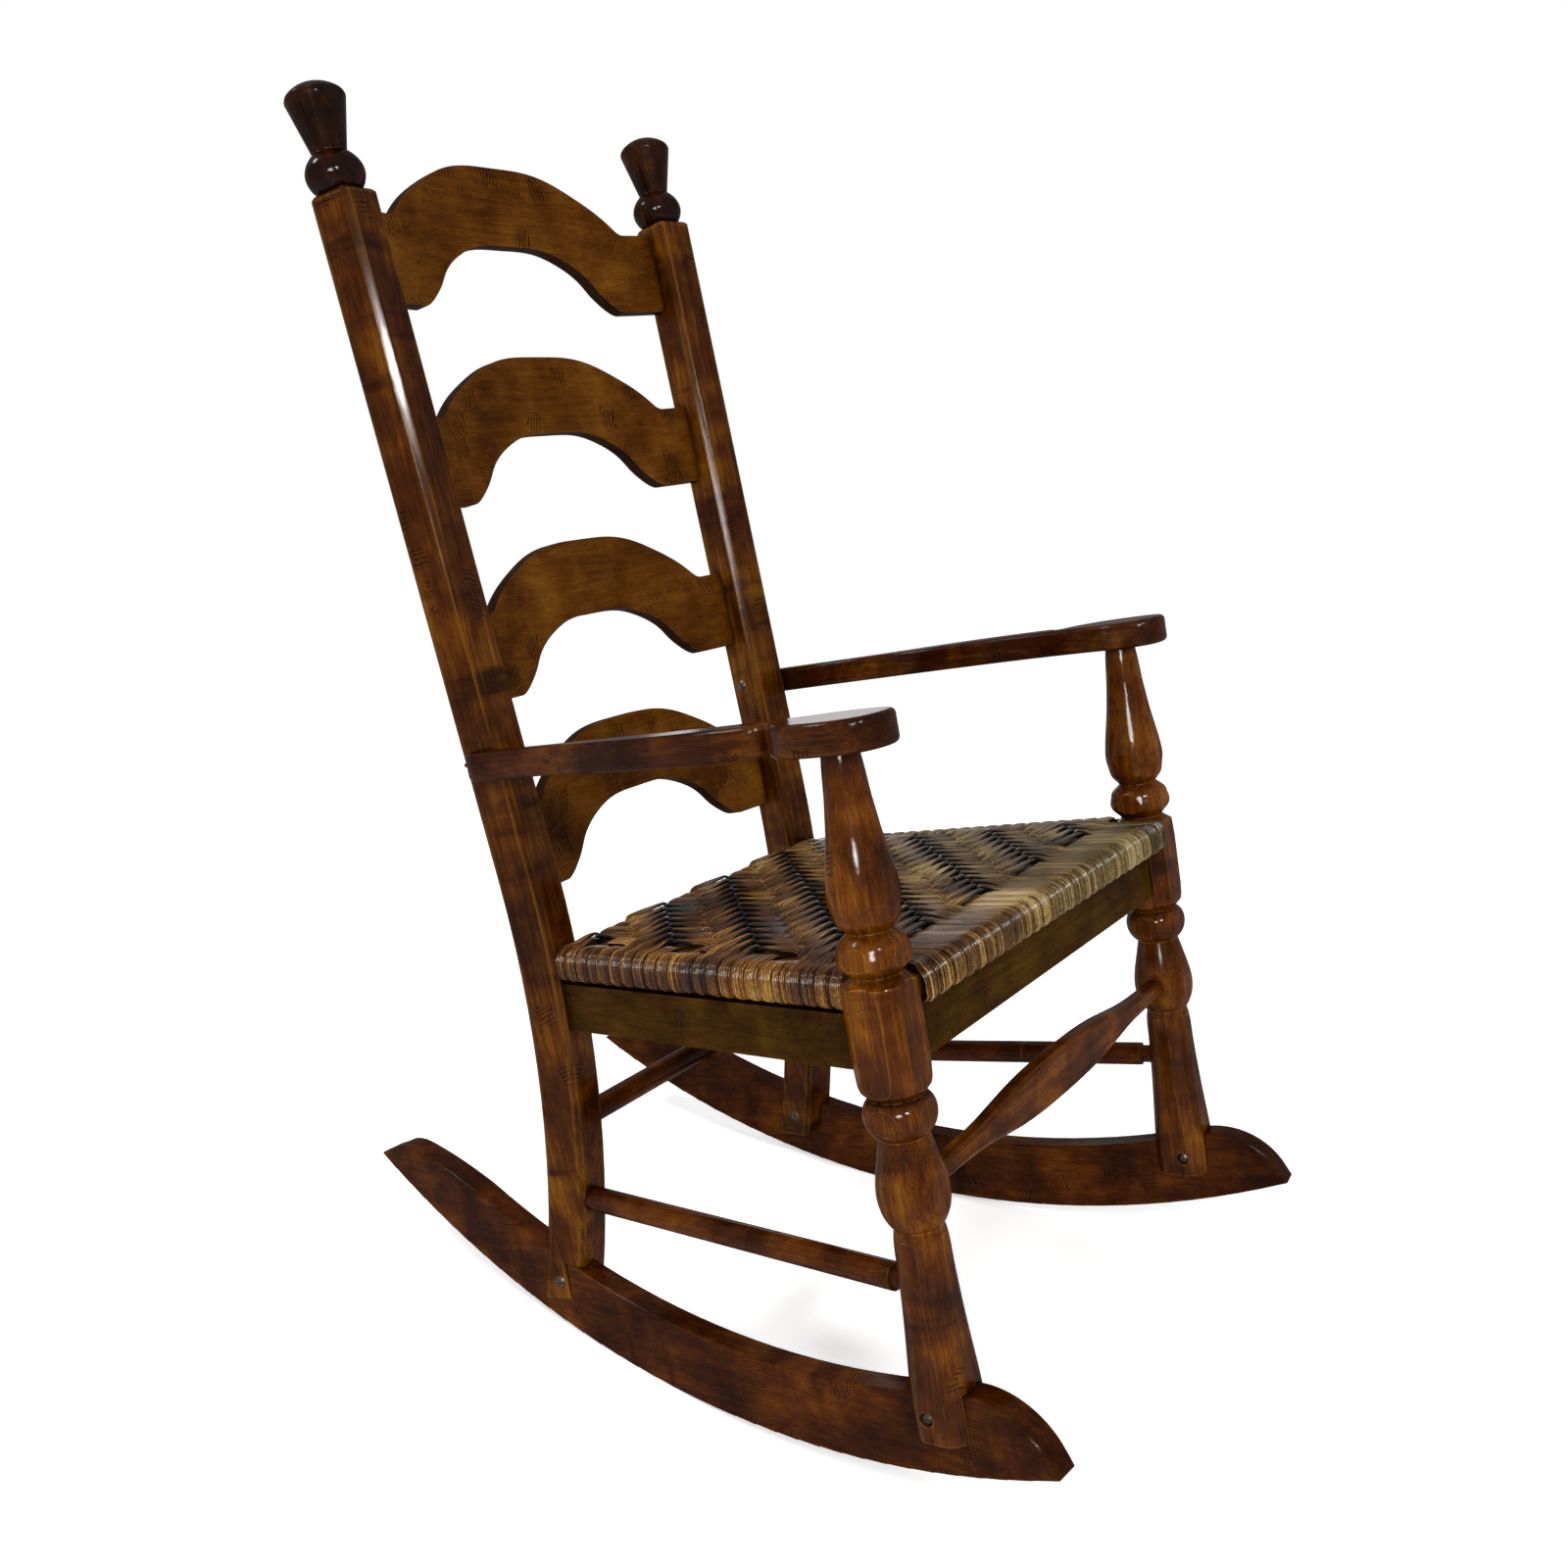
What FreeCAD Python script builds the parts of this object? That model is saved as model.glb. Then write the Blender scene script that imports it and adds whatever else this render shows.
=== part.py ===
import FreeCAD, Part
import math
import os

# Ladder-back rocking chair with a woven seat, in millimetres and degrees.
# It is drawn upright: x runs across, y back from the front legs and z up from the floor line that
# the rockers' height is set by. Pieces of the +x side are drawn and mirrored. The finished chair is
# leaned back until its weight hangs under the centre of the rockers' arc, as it stands at rest.

# Fits and cuts
fit = 0.2               # gap round every tenon, slot and screw
overrun = 40.0          # how far cutting shapes run past what they cut

# Rockers, drawn flat in their own plane
rocker_radius = 917.0
rocker_centre_z = 915.0
rocker_centre_y = 166.0
rocker_depth = 70.5
rocker_thickness = 24.5
rocker_toe = 5.9        # plan angle, front ends wider
rocker_outset = 0.5     # outward of the leg's axis
rocker_edge = 2.0
nose_reach = 275.0      # along the lower arc from its lowest point
nose_taper = 75.0
tail_reach = 604.0
tail_taper = 150.0

# Front legs
leg_half_spacing = 254.5
leg_radius = 30.0
leg_half_flat = 26.5
leg_bottom = 49.0
foot_shoulder = 80.0
foot_top = 225.5
lower_vase_top = 300.5
lower_ring_top = 333.0
block_top = 430.0
upper_ring_top = 464.0
vase_widest = 497.0
leg_tenon_radius = 10.0
leg_tenon_length = 20.0

# Rear posts
post_inset = 55.0           # posts nearer the middle than the legs
post_half_spacing = leg_half_spacing - post_inset   # axis, at the seat's level
post_y = 402.5
post_size = 43.0
post_chamfer = 4.5
post_top_chamfer = 3.0
post_turn = 8.0
post_splay = 0.8
post_lean = 3.45
post_bend_radius = 1150.0
post_bend_z = 500.0
seat_level = 439.0
post_bottom = 76.0
post_top = 1105.0

# Finials, heights above the post's top
finial_radius = 26.0
finial_half_flat = 24.0
finial_ball_top = 33.5
finial_rim = 77.0
finial_height = 92.0
finial_tenon_radius = 7.0
finial_tenon_length = 18.0
finial_setback = 2.5        # behind the post's axis

# Back slats
slat_count = 4
slat_first_z = 478.0
slat_pitch = 179.5
slat_end_height = 79.0
slat_crown = 58.0           # of the upper edge above its shoulders
slat_arch = 63.0
slat_shoulder = post_half_spacing - 41.5    # half-length of the shaped upper edge
slat_arch_half = post_half_spacing - 58.5
slat_thickness = 13.5
slat_setback = 6.5          # front face behind the post's axis
slat_bow = 17.0
slat_bow_half = post_half_spacing - post_size / 2
slat_tenon = 16.0

# Arms
arm_thickness = 25.5
arm_rear_y = 415.0
arm_front_y = -47.0
arm_front_z = 600.5         # underside over the front leg's axis
arm_drop = 5.2              # underside lower at the post
arm_inner_rear = leg_half_spacing - 32.5
arm_inner_middle = leg_half_spacing - 18.5
arm_inner_front = leg_half_spacing - 27.0
arm_bar_width = 30.0
arm_lip_y = 80.0
arm_notch_y = 62.0
arm_notch_radius = 2.0
arm_pad_width = 60.0
arm_corner = 20.0
arm_edge = 4.5

# Aprons
apron_bottom = 351.5
apron_height = 45.0
apron_thickness = 20.0
front_apron_y = -12.0       # front face
side_apron_front_x = leg_half_spacing + 8.0     # outer face, at the front leg's axis
side_apron_slant = 7.9
apron_tenon_inset = 5.0
apron_tenon = 18.0

# Woven seat and the rails inside it
seat_bottom = 399.5
seat_thickness = 30.5
seat_front_y = -33.0
seat_back_y = 381.0
seat_front_x = leg_half_spacing + 12.5          # half-width on the front legs' axes
seat_slant = 7.9
seat_edge = 11.0
seat_skin = 3.0
seat_notch_gap = 0.6
rail_width = 20.0
rail_edge = seat_edge - seat_skin - fit     # follows the weave's inner rounding
rail_tenon = 16.0
rail_tenon_inset = 4.0

# Stretchers
side_stretcher_z = 173.5
side_stretcher_rise = 5.0   # rear end above the front end
side_stretcher_radius = 11.75
side_stretcher_neck_radius = 9.0
side_stretcher_neck = 33.0  # from the front leg's axis
side_stretcher_bevel = 4.0
rear_stretcher_z = 253.0
rear_stretcher_radius = 11.5
score_depth = 0.8
score_places = (163.0, 314.0)
stretcher_tenon_radius = 8.0
stretcher_tenon = 15.0
front_stretcher_z = 254.5
front_stretcher_front_y = -10.0
front_stretcher_thickness = 18.0
front_stretcher_end = 8.0  # half-height at the ends
front_stretcher_swell = 21.5
front_stretcher_bevel = 3.5

# Screws
screw_head_radius = 6.0
screw_head_height = 2.4
screw_shank_radius = 2.0
screw_length = 28.0
arm_screw_length = 58.0
slot_width = 1.2
slot_depth = 0.8
leg_screw_sink = 3.0        # seat of the head, inside the leg's flat
leg_screw_outer = (6.0, 70.0)   # y from the axis, z
leg_screw_inner = (-7.0, 68.0)
post_screw_sink = 0.3
post_screw_outer = (4.0, 94.0)
post_screw_inner = (-2.0, 100.0)
arm_screw = (5.0, 611.0)

# Turned outlines of the leg: share of the section's height, share of the leg's radius
foot_shares = ((0, .955), (.19, .967), (.345, .91), (.5, .843), (.69, .78), (.83, .75),
               (.955, .717), (1, .667))
lower_vase_shares = ((0, .667), (.087, .813), (.22, .933), (.38, .975), (.54, .933), (.7, .847),
                     (.86, .75), (1, .667))
lower_ring_shares = ((0, .667), (.17, .85), (.32, .933), (.54, .977), (.81, .923), (1, .717))
block_shares = ((0, .717), (.07, .933), (.113, .973), (.227, 1), (.742, 1), (.928, .967),
                (.98, .733), (1, .667))
upper_ring_shares = ((0, .667), (.16, .833), (.29, .95), (.44, .98), (.59, .943), (.75, .893),
                     (.9, .733), (1, .6))
upper_vase_shares = ((0, .6), (.02, .667), (.06, .813), (.12, .883), (.19, .937), (.25, .927),
                     (.31, .893), (.424, .807), (.53, .72), (.644, .65), (.75, .593), (.864, .55),
                     (1, .48))
foot_flat_share = .775      # of the flats' half-width, where the foot is thinnest
top_flat_share = .573
corner_share = .453         # of the flats' half-width, cut off each corner

# Finial outlines: share of the height, share of the radius
ball_shares = ((0, .67), (.1, .8), (.28, .93), (.48, .98), (.7, .91), (.88, .75), (1, .58))
cap_shares = ((0, 1), (.25, .96), (.55, .78), (.8, .5), (1, 0))
cone_share = .57

# Rocker ends: share of the taper back from the tip, share of the depth
tail_shares = ((0, 0), (.02, .1), (.076, .26), (.13, .43), (.22, .6), (.4, .76), (.7, .92), (1, 1))
nose_shares = ((0, 0), (.02, .14), (.053, .3), (.28, .7), (.59, .915), (1, 1))

# Slat edges: share of the half-length, share of the rise
crown_shares = ((1, 0), (.97, .02), (.918, .13), (.797, .39), (.633, .645), (.475, .842),
                (.316, .958), (0, 1))
arch_shares = ((1, 0), (.96, .01), (.92, .05), (.84, .18), (.767, .333), (.7, .515), (.613, .68), (.5, .82),
               (.333, .955), (0, 1))

# Arm pad: share of its length from the front end, share of its width from the inner edge
pad_shares = ((.22, 0), (.06, .12), (0, .36), (.01, .62), (.09, .86), (.25, .98), (.45, 1),
              (.65, .96), (.83, .83), (.94, .64), (1, .41))
lip_shares = ((.3, .55), (.6, .88), (1, 1))     # from the notch to the bar's lip
bar_middle_share = .8       # of the bar's width, halfway along
bar_rear_share = .95

# Front stretcher: share of the half-length, share of the swelling's extra height
swell_shares = ((1, 0), (.84, 0), (.7, .04), (.58, .17), (.46, .45), (.33, .76), (.18, .95), (0, 1))

across = FreeCAD.Vector(1, 0, 0)
back = FreeCAD.Vector(0, 1, 0)
up = FreeCAD.Vector(0, 0, 1)
origin = FreeCAD.Vector(0, 0, 0)


def point(x, y, z):
    return FreeCAD.Vector(x, y, z)


def spline(points):
    curve = Part.BSplineCurve()
    curve.interpolate(points)
    return curve.toShape()


def line(a, b):
    return Part.LineSegment(a, b).toShape()


def faceOf(edges):
    return Part.Face(Part.Wire(Part.__sortEdges__(edges)))


def box(low, high):
    size = high - low
    return Part.makeBox(size.x, size.y, size.z, low)


def moved(shape, offset):
    copy = shape.copy()
    copy.translate(offset)
    return copy


def turned(shape, axis, angle, centre=origin):
    copy = shape.copy()
    copy.rotate(centre, axis, angle)
    return copy


def mirrored(shape):
    return shape.mirror(origin, across)


def joined(body, *others):
    return body.fuse(list(others)).removeSplitter()


def longEdges(shape, minimum, direction):
    # edges that lie square to a direction and run further than the minimum
    found = []
    for edge in shape.Edges:
        size = edge.BoundBox
        flat = (size.XLength, size.YLength, size.ZLength)[direction]
        if flat < fit and edge.Length > minimum:
            found.append(edge)
    return found


# Rockers

def rockerPoint(reach, depth):
    # reach is measured along the lower arc from its lowest point, depth in from that arc
    angle = reach / rocker_radius
    radius = rocker_radius - depth
    return point(0, rocker_centre_y + radius * math.sin(angle), rocker_centre_z - radius * math.cos(angle))


def rockerArc(start, end, depth):
    middle = rockerPoint((start + end) / 2, depth)
    return Part.Arc(rockerPoint(start, depth), middle, rockerPoint(end, depth)).toShape()


def rockerBoard():
    tail = [rockerPoint(tail_reach - share * tail_taper, depth * rocker_depth)
            for share, depth in tail_shares]
    nose = [rockerPoint(-nose_reach + share * nose_taper, depth * rocker_depth)
            for share, depth in nose_shares]
    edges = [rockerArc(-nose_reach, tail_reach, 0), spline(tail), spline(nose),
             rockerArc(-nose_reach + nose_taper, tail_reach - tail_taper, rocker_depth)]
    board = moved(faceOf(edges), across * (-rocker_thickness / 2)).extrude(across * rocker_thickness)
    return board.makeFillet(rocker_edge, longEdges(board, rocker_thickness, 0))


def placeRocker(shape):
    return moved(turned(shape, up, rocker_toe), across * (leg_half_spacing + rocker_outset))


def rockerSlot():
    # the room that a foot needs round the rocker
    width = rocker_thickness + 2 * fit
    start = point(-width / 2, rocker_centre_y, rocker_centre_z)
    ring = Part.makeCylinder(rocker_radius + overrun, width, start, across)
    ring = ring.cut(Part.makeCylinder(rocker_radius - rocker_depth - fit, width, start, across))
    return placeRocker(ring)


# Screws, drawn along +x with the head's seat at the origin

def screw(length, gap=0.0):
    shank = Part.makeCylinder(screw_shank_radius + gap, length + gap, origin, across * -1)
    if gap:
        head = Part.makeCylinder(screw_head_radius + gap, overrun, origin, across)
        return shank.fuse(head)
    ball = (screw_head_radius ** 2 + screw_head_height ** 2) / (2 * screw_head_height)
    dome = Part.makeSphere(ball, across * (screw_head_height - ball))
    head = dome.common(Part.makeCylinder(screw_head_radius, screw_head_height, origin, across))
    slot = box(point(screw_head_height - slot_depth, -screw_head_radius, -slot_width / 2),
               point(overrun, screw_head_radius, slot_width / 2))
    return head.cut(slot).fuse(shank).removeSplitter()


def outward(shape, x, y, z):
    return moved(shape, point(x, y, z))


def inward(shape, x, y, z):
    return moved(turned(shape, up, 180), point(x, y, z))


def legScrews(gap=0.0):
    seat = leg_half_flat - leg_screw_sink
    outer = outward(screw(screw_length, gap), leg_half_spacing + seat, *leg_screw_outer)
    inner = inward(screw(screw_length, gap), leg_half_spacing - seat, *leg_screw_inner)
    return [outer, inner]


def postScrews(gap=0.0):
    screws = []
    seat = post_size / 2 - post_screw_sink
    for place, length, side in ((post_screw_outer, screw_length, outward),
                                (post_screw_inner, screw_length, inward),
                                (arm_screw, arm_screw_length, inward)):
        x = seat if side is outward else -seat
        y = postRun(place[1]) + place[0]
        screws.append(placePost(side(screw(length, gap), x, y, place[1])))
    return screws


# Front legs

def turnedEdges(sections, radius):
    # one smooth or straight outline for each turned section, in the plane y = 0
    edges = []
    for bottom, top, shares, smooth in sections:
        points = [point(radius * across_share, 0, bottom + (top - bottom) * share)
                  for share, across_share in shares]
        if smooth:
            edges.append(spline(points))
        else:
            edges += [line(a, b) for a, b in zip(points, points[1:])]
    return edges


def revolved(edges, bottom, top, bottom_radius, top_radius):
    closing = [line(point(0, 0, bottom), point(bottom_radius, 0, bottom)),
               line(point(0, 0, bottom), point(0, 0, top))]
    if top_radius > 0:
        closing.append(line(point(0, 0, top), point(top_radius, 0, top)))
    return faceOf(edges + closing).revolve(origin, up, 360)


def octagon(half_flat, z):
    flat = half_flat * (1 - corner_share)
    corners = [(half_flat, -flat), (half_flat, flat), (flat, half_flat), (-flat, half_flat),
               (-half_flat, flat), (-half_flat, -flat), (-flat, -half_flat), (flat, -half_flat)]
    return Part.makePolygon([point(x, y, z) for x, y in corners + corners[:1]])


def legBlank():
    sections = ((leg_bottom, foot_top, foot_shares, True),
                (foot_top, lower_vase_top, lower_vase_shares, True),
                (lower_vase_top, lower_ring_top, lower_ring_shares, True),
                (lower_ring_top, block_top, block_shares, False),
                (block_top, upper_ring_top, upper_ring_shares, True),
                (upper_ring_top, arm_front_z, upper_vase_shares, True))
    edges = turnedEdges(sections, leg_radius)
    body = revolved(edges, leg_bottom, arm_front_z, leg_radius * foot_shares[0][1],
                    leg_radius * upper_vase_shares[-1][1])
    thin = foot_top - (foot_top - leg_bottom) * (1 - foot_shares[-2][0])
    flats = ((leg_bottom, 1), (foot_shoulder, 1), (thin, foot_flat_share), (foot_top, 1),
             (vase_widest, 1), (arm_front_z, top_flat_share))
    wires = [octagon(leg_half_flat * share, z) for z, share in flats]
    return moved(body.common(Part.makeLoft(wires, True, True)), across * leg_half_spacing)


def legTenon(gap=0.0):
    return Part.makeCylinder(leg_tenon_radius + gap, leg_tenon_length + gap + leg_radius,
                             point(leg_half_spacing, 0, arm_front_z - leg_radius))


# Rear posts, drawn with the axis in the plane x = 0 and passing y = 0 at the seat's level

def postBendCentre():
    lean = math.radians(post_lean)
    z = post_bend_z - post_bend_radius * math.sin(lean)
    y = math.sqrt(post_bend_radius ** 2 - (seat_level - z) ** 2)
    return y, z


def postRun(z, offset=0.0):
    # how far back the axis lies at a height, or a line that is offset towards the back
    lean = math.radians(post_lean)
    y, centre_z = postBendCentre()
    if z < post_bend_z:
        return y - math.sqrt((post_bend_radius - offset) ** 2 - (z - centre_z) ** 2)
    bend_y = y - post_bend_radius * math.cos(lean)
    return bend_y + (z - post_bend_z) * math.tan(lean) + offset / math.cos(lean)


def postSide(offset):
    lean = math.radians(post_lean)
    y, centre_z = postBendCentre()
    radius = post_bend_radius - offset
    bend = point(0, y - radius * math.cos(lean), centre_z + radius * math.sin(lean))
    top = point(0, postRun(post_top), post_top) + point(0, math.cos(lean), -math.sin(lean)) * offset
    middle_z = (post_bottom + bend.z) / 2
    middle = point(0, postRun(middle_z, offset), middle_z)
    foot = point(0, postRun(post_bottom, offset), post_bottom)
    return foot, bend, top, [Part.Arc(foot, middle, bend).toShape(), line(bend, top)]


def placePost(shape):
    copy = turned(shape, up, -post_turn)
    copy = turned(copy, back, post_splay, up * seat_level)
    return moved(copy, point(post_half_spacing, post_y, 0))


def postBlank():
    half = post_size / 2
    front_foot, _, front_top, front = postSide(-half)
    back_foot, _, back_top, rear = postSide(half)
    edges = front + rear + [line(front_foot, back_foot), line(front_top, back_top)]
    body = moved(faceOf(edges), across * -half).extrude(across * post_size)
    body = body.makeChamfer(post_chamfer, longEdges(body, 2 * post_size, 0))
    top = max(body.Faces, key=lambda face: face.CenterOfMass.z)
    body = body.makeChamfer(post_top_chamfer, top.Edges)
    return placePost(body)


def postAxis(z):
    # the axis of the +x post at a height, in the chair's frame
    spot = placePost(Part.Vertex(point(0, postRun(z), z))).Point
    return spot


def postTopPlace(shape):
    # from a shape that stands on z = 0 to the post's top, along the post
    lean = turned(shape, across, -post_lean)
    return placePost(moved(lean, point(0, postRun(post_top) + finial_setback, post_top)))


# Finials

def finialTenon(gap=0.0):
    length = finial_tenon_length + gap
    return Part.makeCylinder(finial_tenon_radius + gap, length, point(0, 0, -length))


def finial():
    sections = ((0, finial_ball_top, ball_shares, True),)
    edges = turnedEdges(sections, finial_radius)
    neck = finial_radius * cone_share
    ball_end = finial_radius * ball_shares[-1][1]
    edges.append(line(point(ball_end, 0, finial_ball_top), point(neck, 0, finial_ball_top)))
    edges.append(line(point(neck, 0, finial_ball_top), point(finial_radius, 0, finial_rim)))
    cap_height = finial_height - finial_rim
    cap = [point(finial_radius * share, 0, finial_rim + cap_height * height) for height, share in cap_shares]
    edges.append(spline(cap))
    body = revolved(edges, 0, finial_height, finial_radius * ball_shares[0][1], 0)
    prism = Part.Face(octagon(finial_half_flat, 0)).extrude(up * finial_height)
    return joined(body.common(prism), finialTenon())


# Slats

def slatPoints(shares, half, rise, base):
    right = [point(half * x, 0, base + rise * z) for x, z in shares]
    left = [point(-p.x, 0, p.z) for p in reversed(right[:-1])]
    return right + left


def slat(index, gap=0.0):
    z = slat_first_z + slat_pitch * index
    seat = postAxis(z + slat_end_height / 2)
    end = seat.x - post_size / 2 + slat_tenon + gap
    crown = slatPoints(crown_shares, slat_shoulder, slat_crown, slat_end_height + gap)
    arch = slatPoints(arch_shares, slat_arch_half, slat_arch, -gap)
    top = spline(crown)
    bottom = spline(arch)
    ends = []
    for side in (1, -1):
        high = point(side * end, 0, slat_end_height + gap)
        low = point(side * end, 0, -gap)
        ends += [line(high, crown[0 if side > 0 else -1]), line(low, arch[0 if side > 0 else -1]),
                 line(high, low)]
    blank = moved(faceOf([top, bottom] + ends), back * -overrun).extrude(back * 3 * overrun)
    radius = (slat_bow_half ** 2 + slat_bow ** 2) / (2 * slat_bow)
    depth = slat_end_height + slat_crown + 2 * overrun
    start = point(0, slat_bow - radius, -overrun)
    sheet = Part.makeCylinder(radius + slat_thickness + gap, depth, start, up)
    sheet = sheet.cut(Part.makeCylinder(radius - gap, depth, start, up))
    body = blank.common(sheet)
    lean = math.degrees(math.atan(math.tan(math.radians(post_lean)) * math.cos(math.radians(post_turn))))
    body = turned(body, across, -lean)
    foot = postAxis(z)
    return moved(body, point(0, foot.y + slat_setback, z))


# Arms, drawn flat with the underside at z = 0

def armOutline():
    pad_length = arm_notch_y - arm_front_y
    pad = [point(arm_inner_front + arm_pad_width * x, arm_front_y + pad_length * y, 0) for y, x in pad_shares]
    corner = point(arm_inner_rear, arm_rear_y, 0)
    inner = [corner, point(arm_inner_middle, (arm_rear_y + arm_notch_y) / 2, 0),
             point((arm_inner_middle + arm_inner_front) / 2, arm_notch_y / 2, 0)]
    notch = pad[-1]
    lip = point(arm_inner_middle + arm_bar_width, arm_lip_y, 0)
    outer = [notch] + [point(notch.x + (lip.x - notch.x) * x, notch.y + (lip.y - notch.y) * y, 0)
                       for y, x in lip_shares]
    outer.append(point(arm_inner_middle + arm_bar_width * bar_middle_share, inner[1].y, 0))
    outer.append(point(arm_inner_rear + arm_bar_width * bar_rear_share, arm_rear_y, 0))
    return faceOf([spline(inner + pad), spline(outer), line(outer[-1], corner)])


def uprightEdge(shape, x, y):
    # the vertical edge nearest to a place in plan
    standing = [edge for edge in shape.Edges if edge.BoundBox.ZLength > arm_thickness / 2]
    return min(standing, key=lambda edge: math.hypot(edge.CenterOfMass.x - x, edge.CenterOfMass.y - y))


def armBlank():
    body = armOutline().extrude(up * arm_thickness)
    notch_x = arm_inner_front + arm_pad_width * pad_shares[-1][1]
    body = body.makeFillet(arm_notch_radius, [uprightEdge(body, notch_x, arm_notch_y)])
    rear_x = arm_inner_rear + arm_bar_width * bar_rear_share
    body = body.makeFillet(arm_corner, [uprightEdge(body, rear_x, arm_rear_y)])
    body = body.makeFillet(arm_edge, [edge for edge in body.Edges if edge.BoundBox.ZLength < fit])
    slope = math.degrees(math.atan(arm_drop / post_y))
    return moved(turned(body, across, -slope), up * arm_front_z)


# Straight pieces between the legs and posts

def slantedBoard(outer_x, slant, width, low_z, high_z):
    # runs back from the front legs' axes, its outer face at a half-width there
    board = box(point(-width, 0, low_z), point(0, post_y / math.cos(math.radians(slant)), high_z))
    return moved(turned(board, up, slant), across * outer_x)


def slantedTenon(outer_x, slant, width, inset, low_z, high_z, start, end):
    # a narrower bar along the same line, between two distances back
    bar = box(point(-width + inset, start, low_z + inset), point(-inset, end, high_z - inset))
    return moved(turned(bar, up, slant), across * outer_x)


def postFront(z, x):
    # how far back the post's front face lies, at a height and a distance across
    axis = postAxis(z)
    angle = math.radians(post_turn)
    return axis.y - post_size / 2 / math.cos(angle) - (x - axis.x) * math.tan(angle)


def frontBar(low, high, inset, reach):
    # a crosswise bar, narrower by the inset on all four sides
    return box(point(-reach, low.y + inset, low.z + inset), point(reach, high.y - inset, high.z - inset))


def sideApron(gap=None):
    top = apron_bottom + apron_height
    angle = math.cos(math.radians(side_apron_slant))
    start = (leg_half_flat - apron_tenon) / angle
    end = (postFront(apron_bottom, post_half_spacing) + apron_tenon) / angle
    if gap is not None:
        return slantedTenon(side_apron_front_x, side_apron_slant, apron_thickness,
                            apron_tenon_inset - gap, apron_bottom, top, start - gap, end + gap)
    board = slantedBoard(side_apron_front_x, side_apron_slant, apron_thickness, apron_bottom, top)
    return board, slantedTenon(side_apron_front_x, side_apron_slant, apron_thickness,
                               apron_tenon_inset, apron_bottom, top, start, end)


def frontApron(gap=None):
    low = point(0, front_apron_y, apron_bottom)
    high = point(0, front_apron_y + apron_thickness, apron_bottom + apron_height)
    reach = leg_half_spacing - leg_half_flat + apron_tenon
    if gap is not None:
        return frontBar(low, high, apron_tenon_inset - gap, reach + gap)
    return frontBar(low, high, 0, leg_half_spacing), frontBar(low, high, apron_tenon_inset, reach)


def rearApron(gap=None):
    axis = postAxis(apron_bottom)
    low = point(0, axis.y - apron_thickness / 2, apron_bottom)
    high = point(0, axis.y + apron_thickness / 2, apron_bottom + apron_height)
    reach = axis.x - post_size / 2 + apron_tenon / 2
    if gap is not None:
        return frontBar(low, high, apron_tenon_inset - gap, reach + gap)
    return frontBar(low, high, 0, axis.x), frontBar(low, high, apron_tenon_inset, reach)


def railHeights():
    low = seat_bottom + seat_skin + fit
    return low, seat_bottom + seat_thickness - seat_skin - fit


def sideRail(gap=None):
    low_z, high_z = railHeights()
    angle = math.cos(math.radians(seat_slant))
    outer = seat_front_x - (seat_skin + fit) / angle
    start = (leg_half_flat - rail_tenon) / angle
    end = (postFront(seat_bottom, post_half_spacing) + rail_tenon) / angle
    if gap is not None:
        return slantedTenon(outer, seat_slant, rail_width, rail_tenon_inset - gap, low_z, high_z,
                            start - gap, end + gap)
    rail = slantedBoard(outer, seat_slant, rail_width, low_z, high_z)
    rail = rail.makeFillet(rail_edge, longEdges(rail, post_y / 2, 2))
    return rail, slantedTenon(outer, seat_slant, rail_width, rail_tenon_inset, low_z, high_z, start, end)


def frontRail(gap=None):
    low_z, high_z = railHeights()
    low = point(0, seat_front_y + seat_skin + fit, low_z)
    high = point(0, low.y + rail_width, high_z)
    reach = leg_half_spacing - leg_half_flat + rail_tenon
    if gap is not None:
        return frontBar(low, high, rail_tenon_inset - gap, reach + gap)
    rail = frontBar(low, high, 0, leg_half_spacing - leg_half_flat)
    rail = rail.makeFillet(rail_edge, longEdges(rail, leg_half_spacing, 1))
    return rail, frontBar(low, high, rail_tenon_inset, reach)


def rearRail(gap=None):
    low_z, high_z = railHeights()
    high = point(0, seat_back_y - seat_skin - fit, high_z)
    low = point(0, high.y - rail_width, low_z)
    slope = math.tan(math.radians(seat_slant))
    inner = seat_front_x - (seat_skin + fit + rail_width) / math.cos(math.radians(seat_slant))
    reach = inner - low.y * slope
    tenon_reach = reach + rail_tenon / 2
    if gap is not None:
        return frontBar(low, high, rail_tenon_inset - gap, tenon_reach + gap)
    rail = frontBar(low, high, 0, reach + rail_tenon)
    rail = rail.makeFillet(rail_edge, longEdges(rail, reach, 1))
    return rail, frontBar(low, high, rail_tenon_inset, tenon_reach)


# Woven seat, a hollow slab round the rails

def seatSlab(inset):
    slope = math.tan(math.radians(seat_slant))
    half = seat_front_x - inset / math.cos(math.radians(seat_slant))
    front = seat_front_y + inset
    rear = seat_back_y - inset
    corners = [(half - front * slope, front), (half - rear * slope, rear),
               (-half + rear * slope, rear), (-half + front * slope, front)]
    low = seat_bottom + inset
    wire = Part.makePolygon([point(x, y, low) for x, y in corners + corners[:1]])
    slab = Part.Face(wire).extrude(up * (seat_thickness - 2 * inset))
    return slab.makeFillet(seat_edge - inset, longEdges(slab, leg_half_spacing, 2))


def seatNotch():
    # the corner that a front leg stands in
    reach = leg_half_flat + seat_notch_gap
    return box(point(leg_half_spacing - reach, -overrun - leg_radius, seat_bottom - overrun),
               point(leg_half_spacing + 2 * overrun, reach, seat_bottom + 2 * overrun))


def postNotch():
    # room round the rear post, which stands a little turned
    half = post_size / 2 + seat_notch_gap
    z = seat_bottom + seat_thickness / 2
    axis = postAxis(z)
    room = box(point(-half, -half, -overrun), point(half, half, overrun))
    return moved(turned(room, up, -post_turn), axis)


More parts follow.
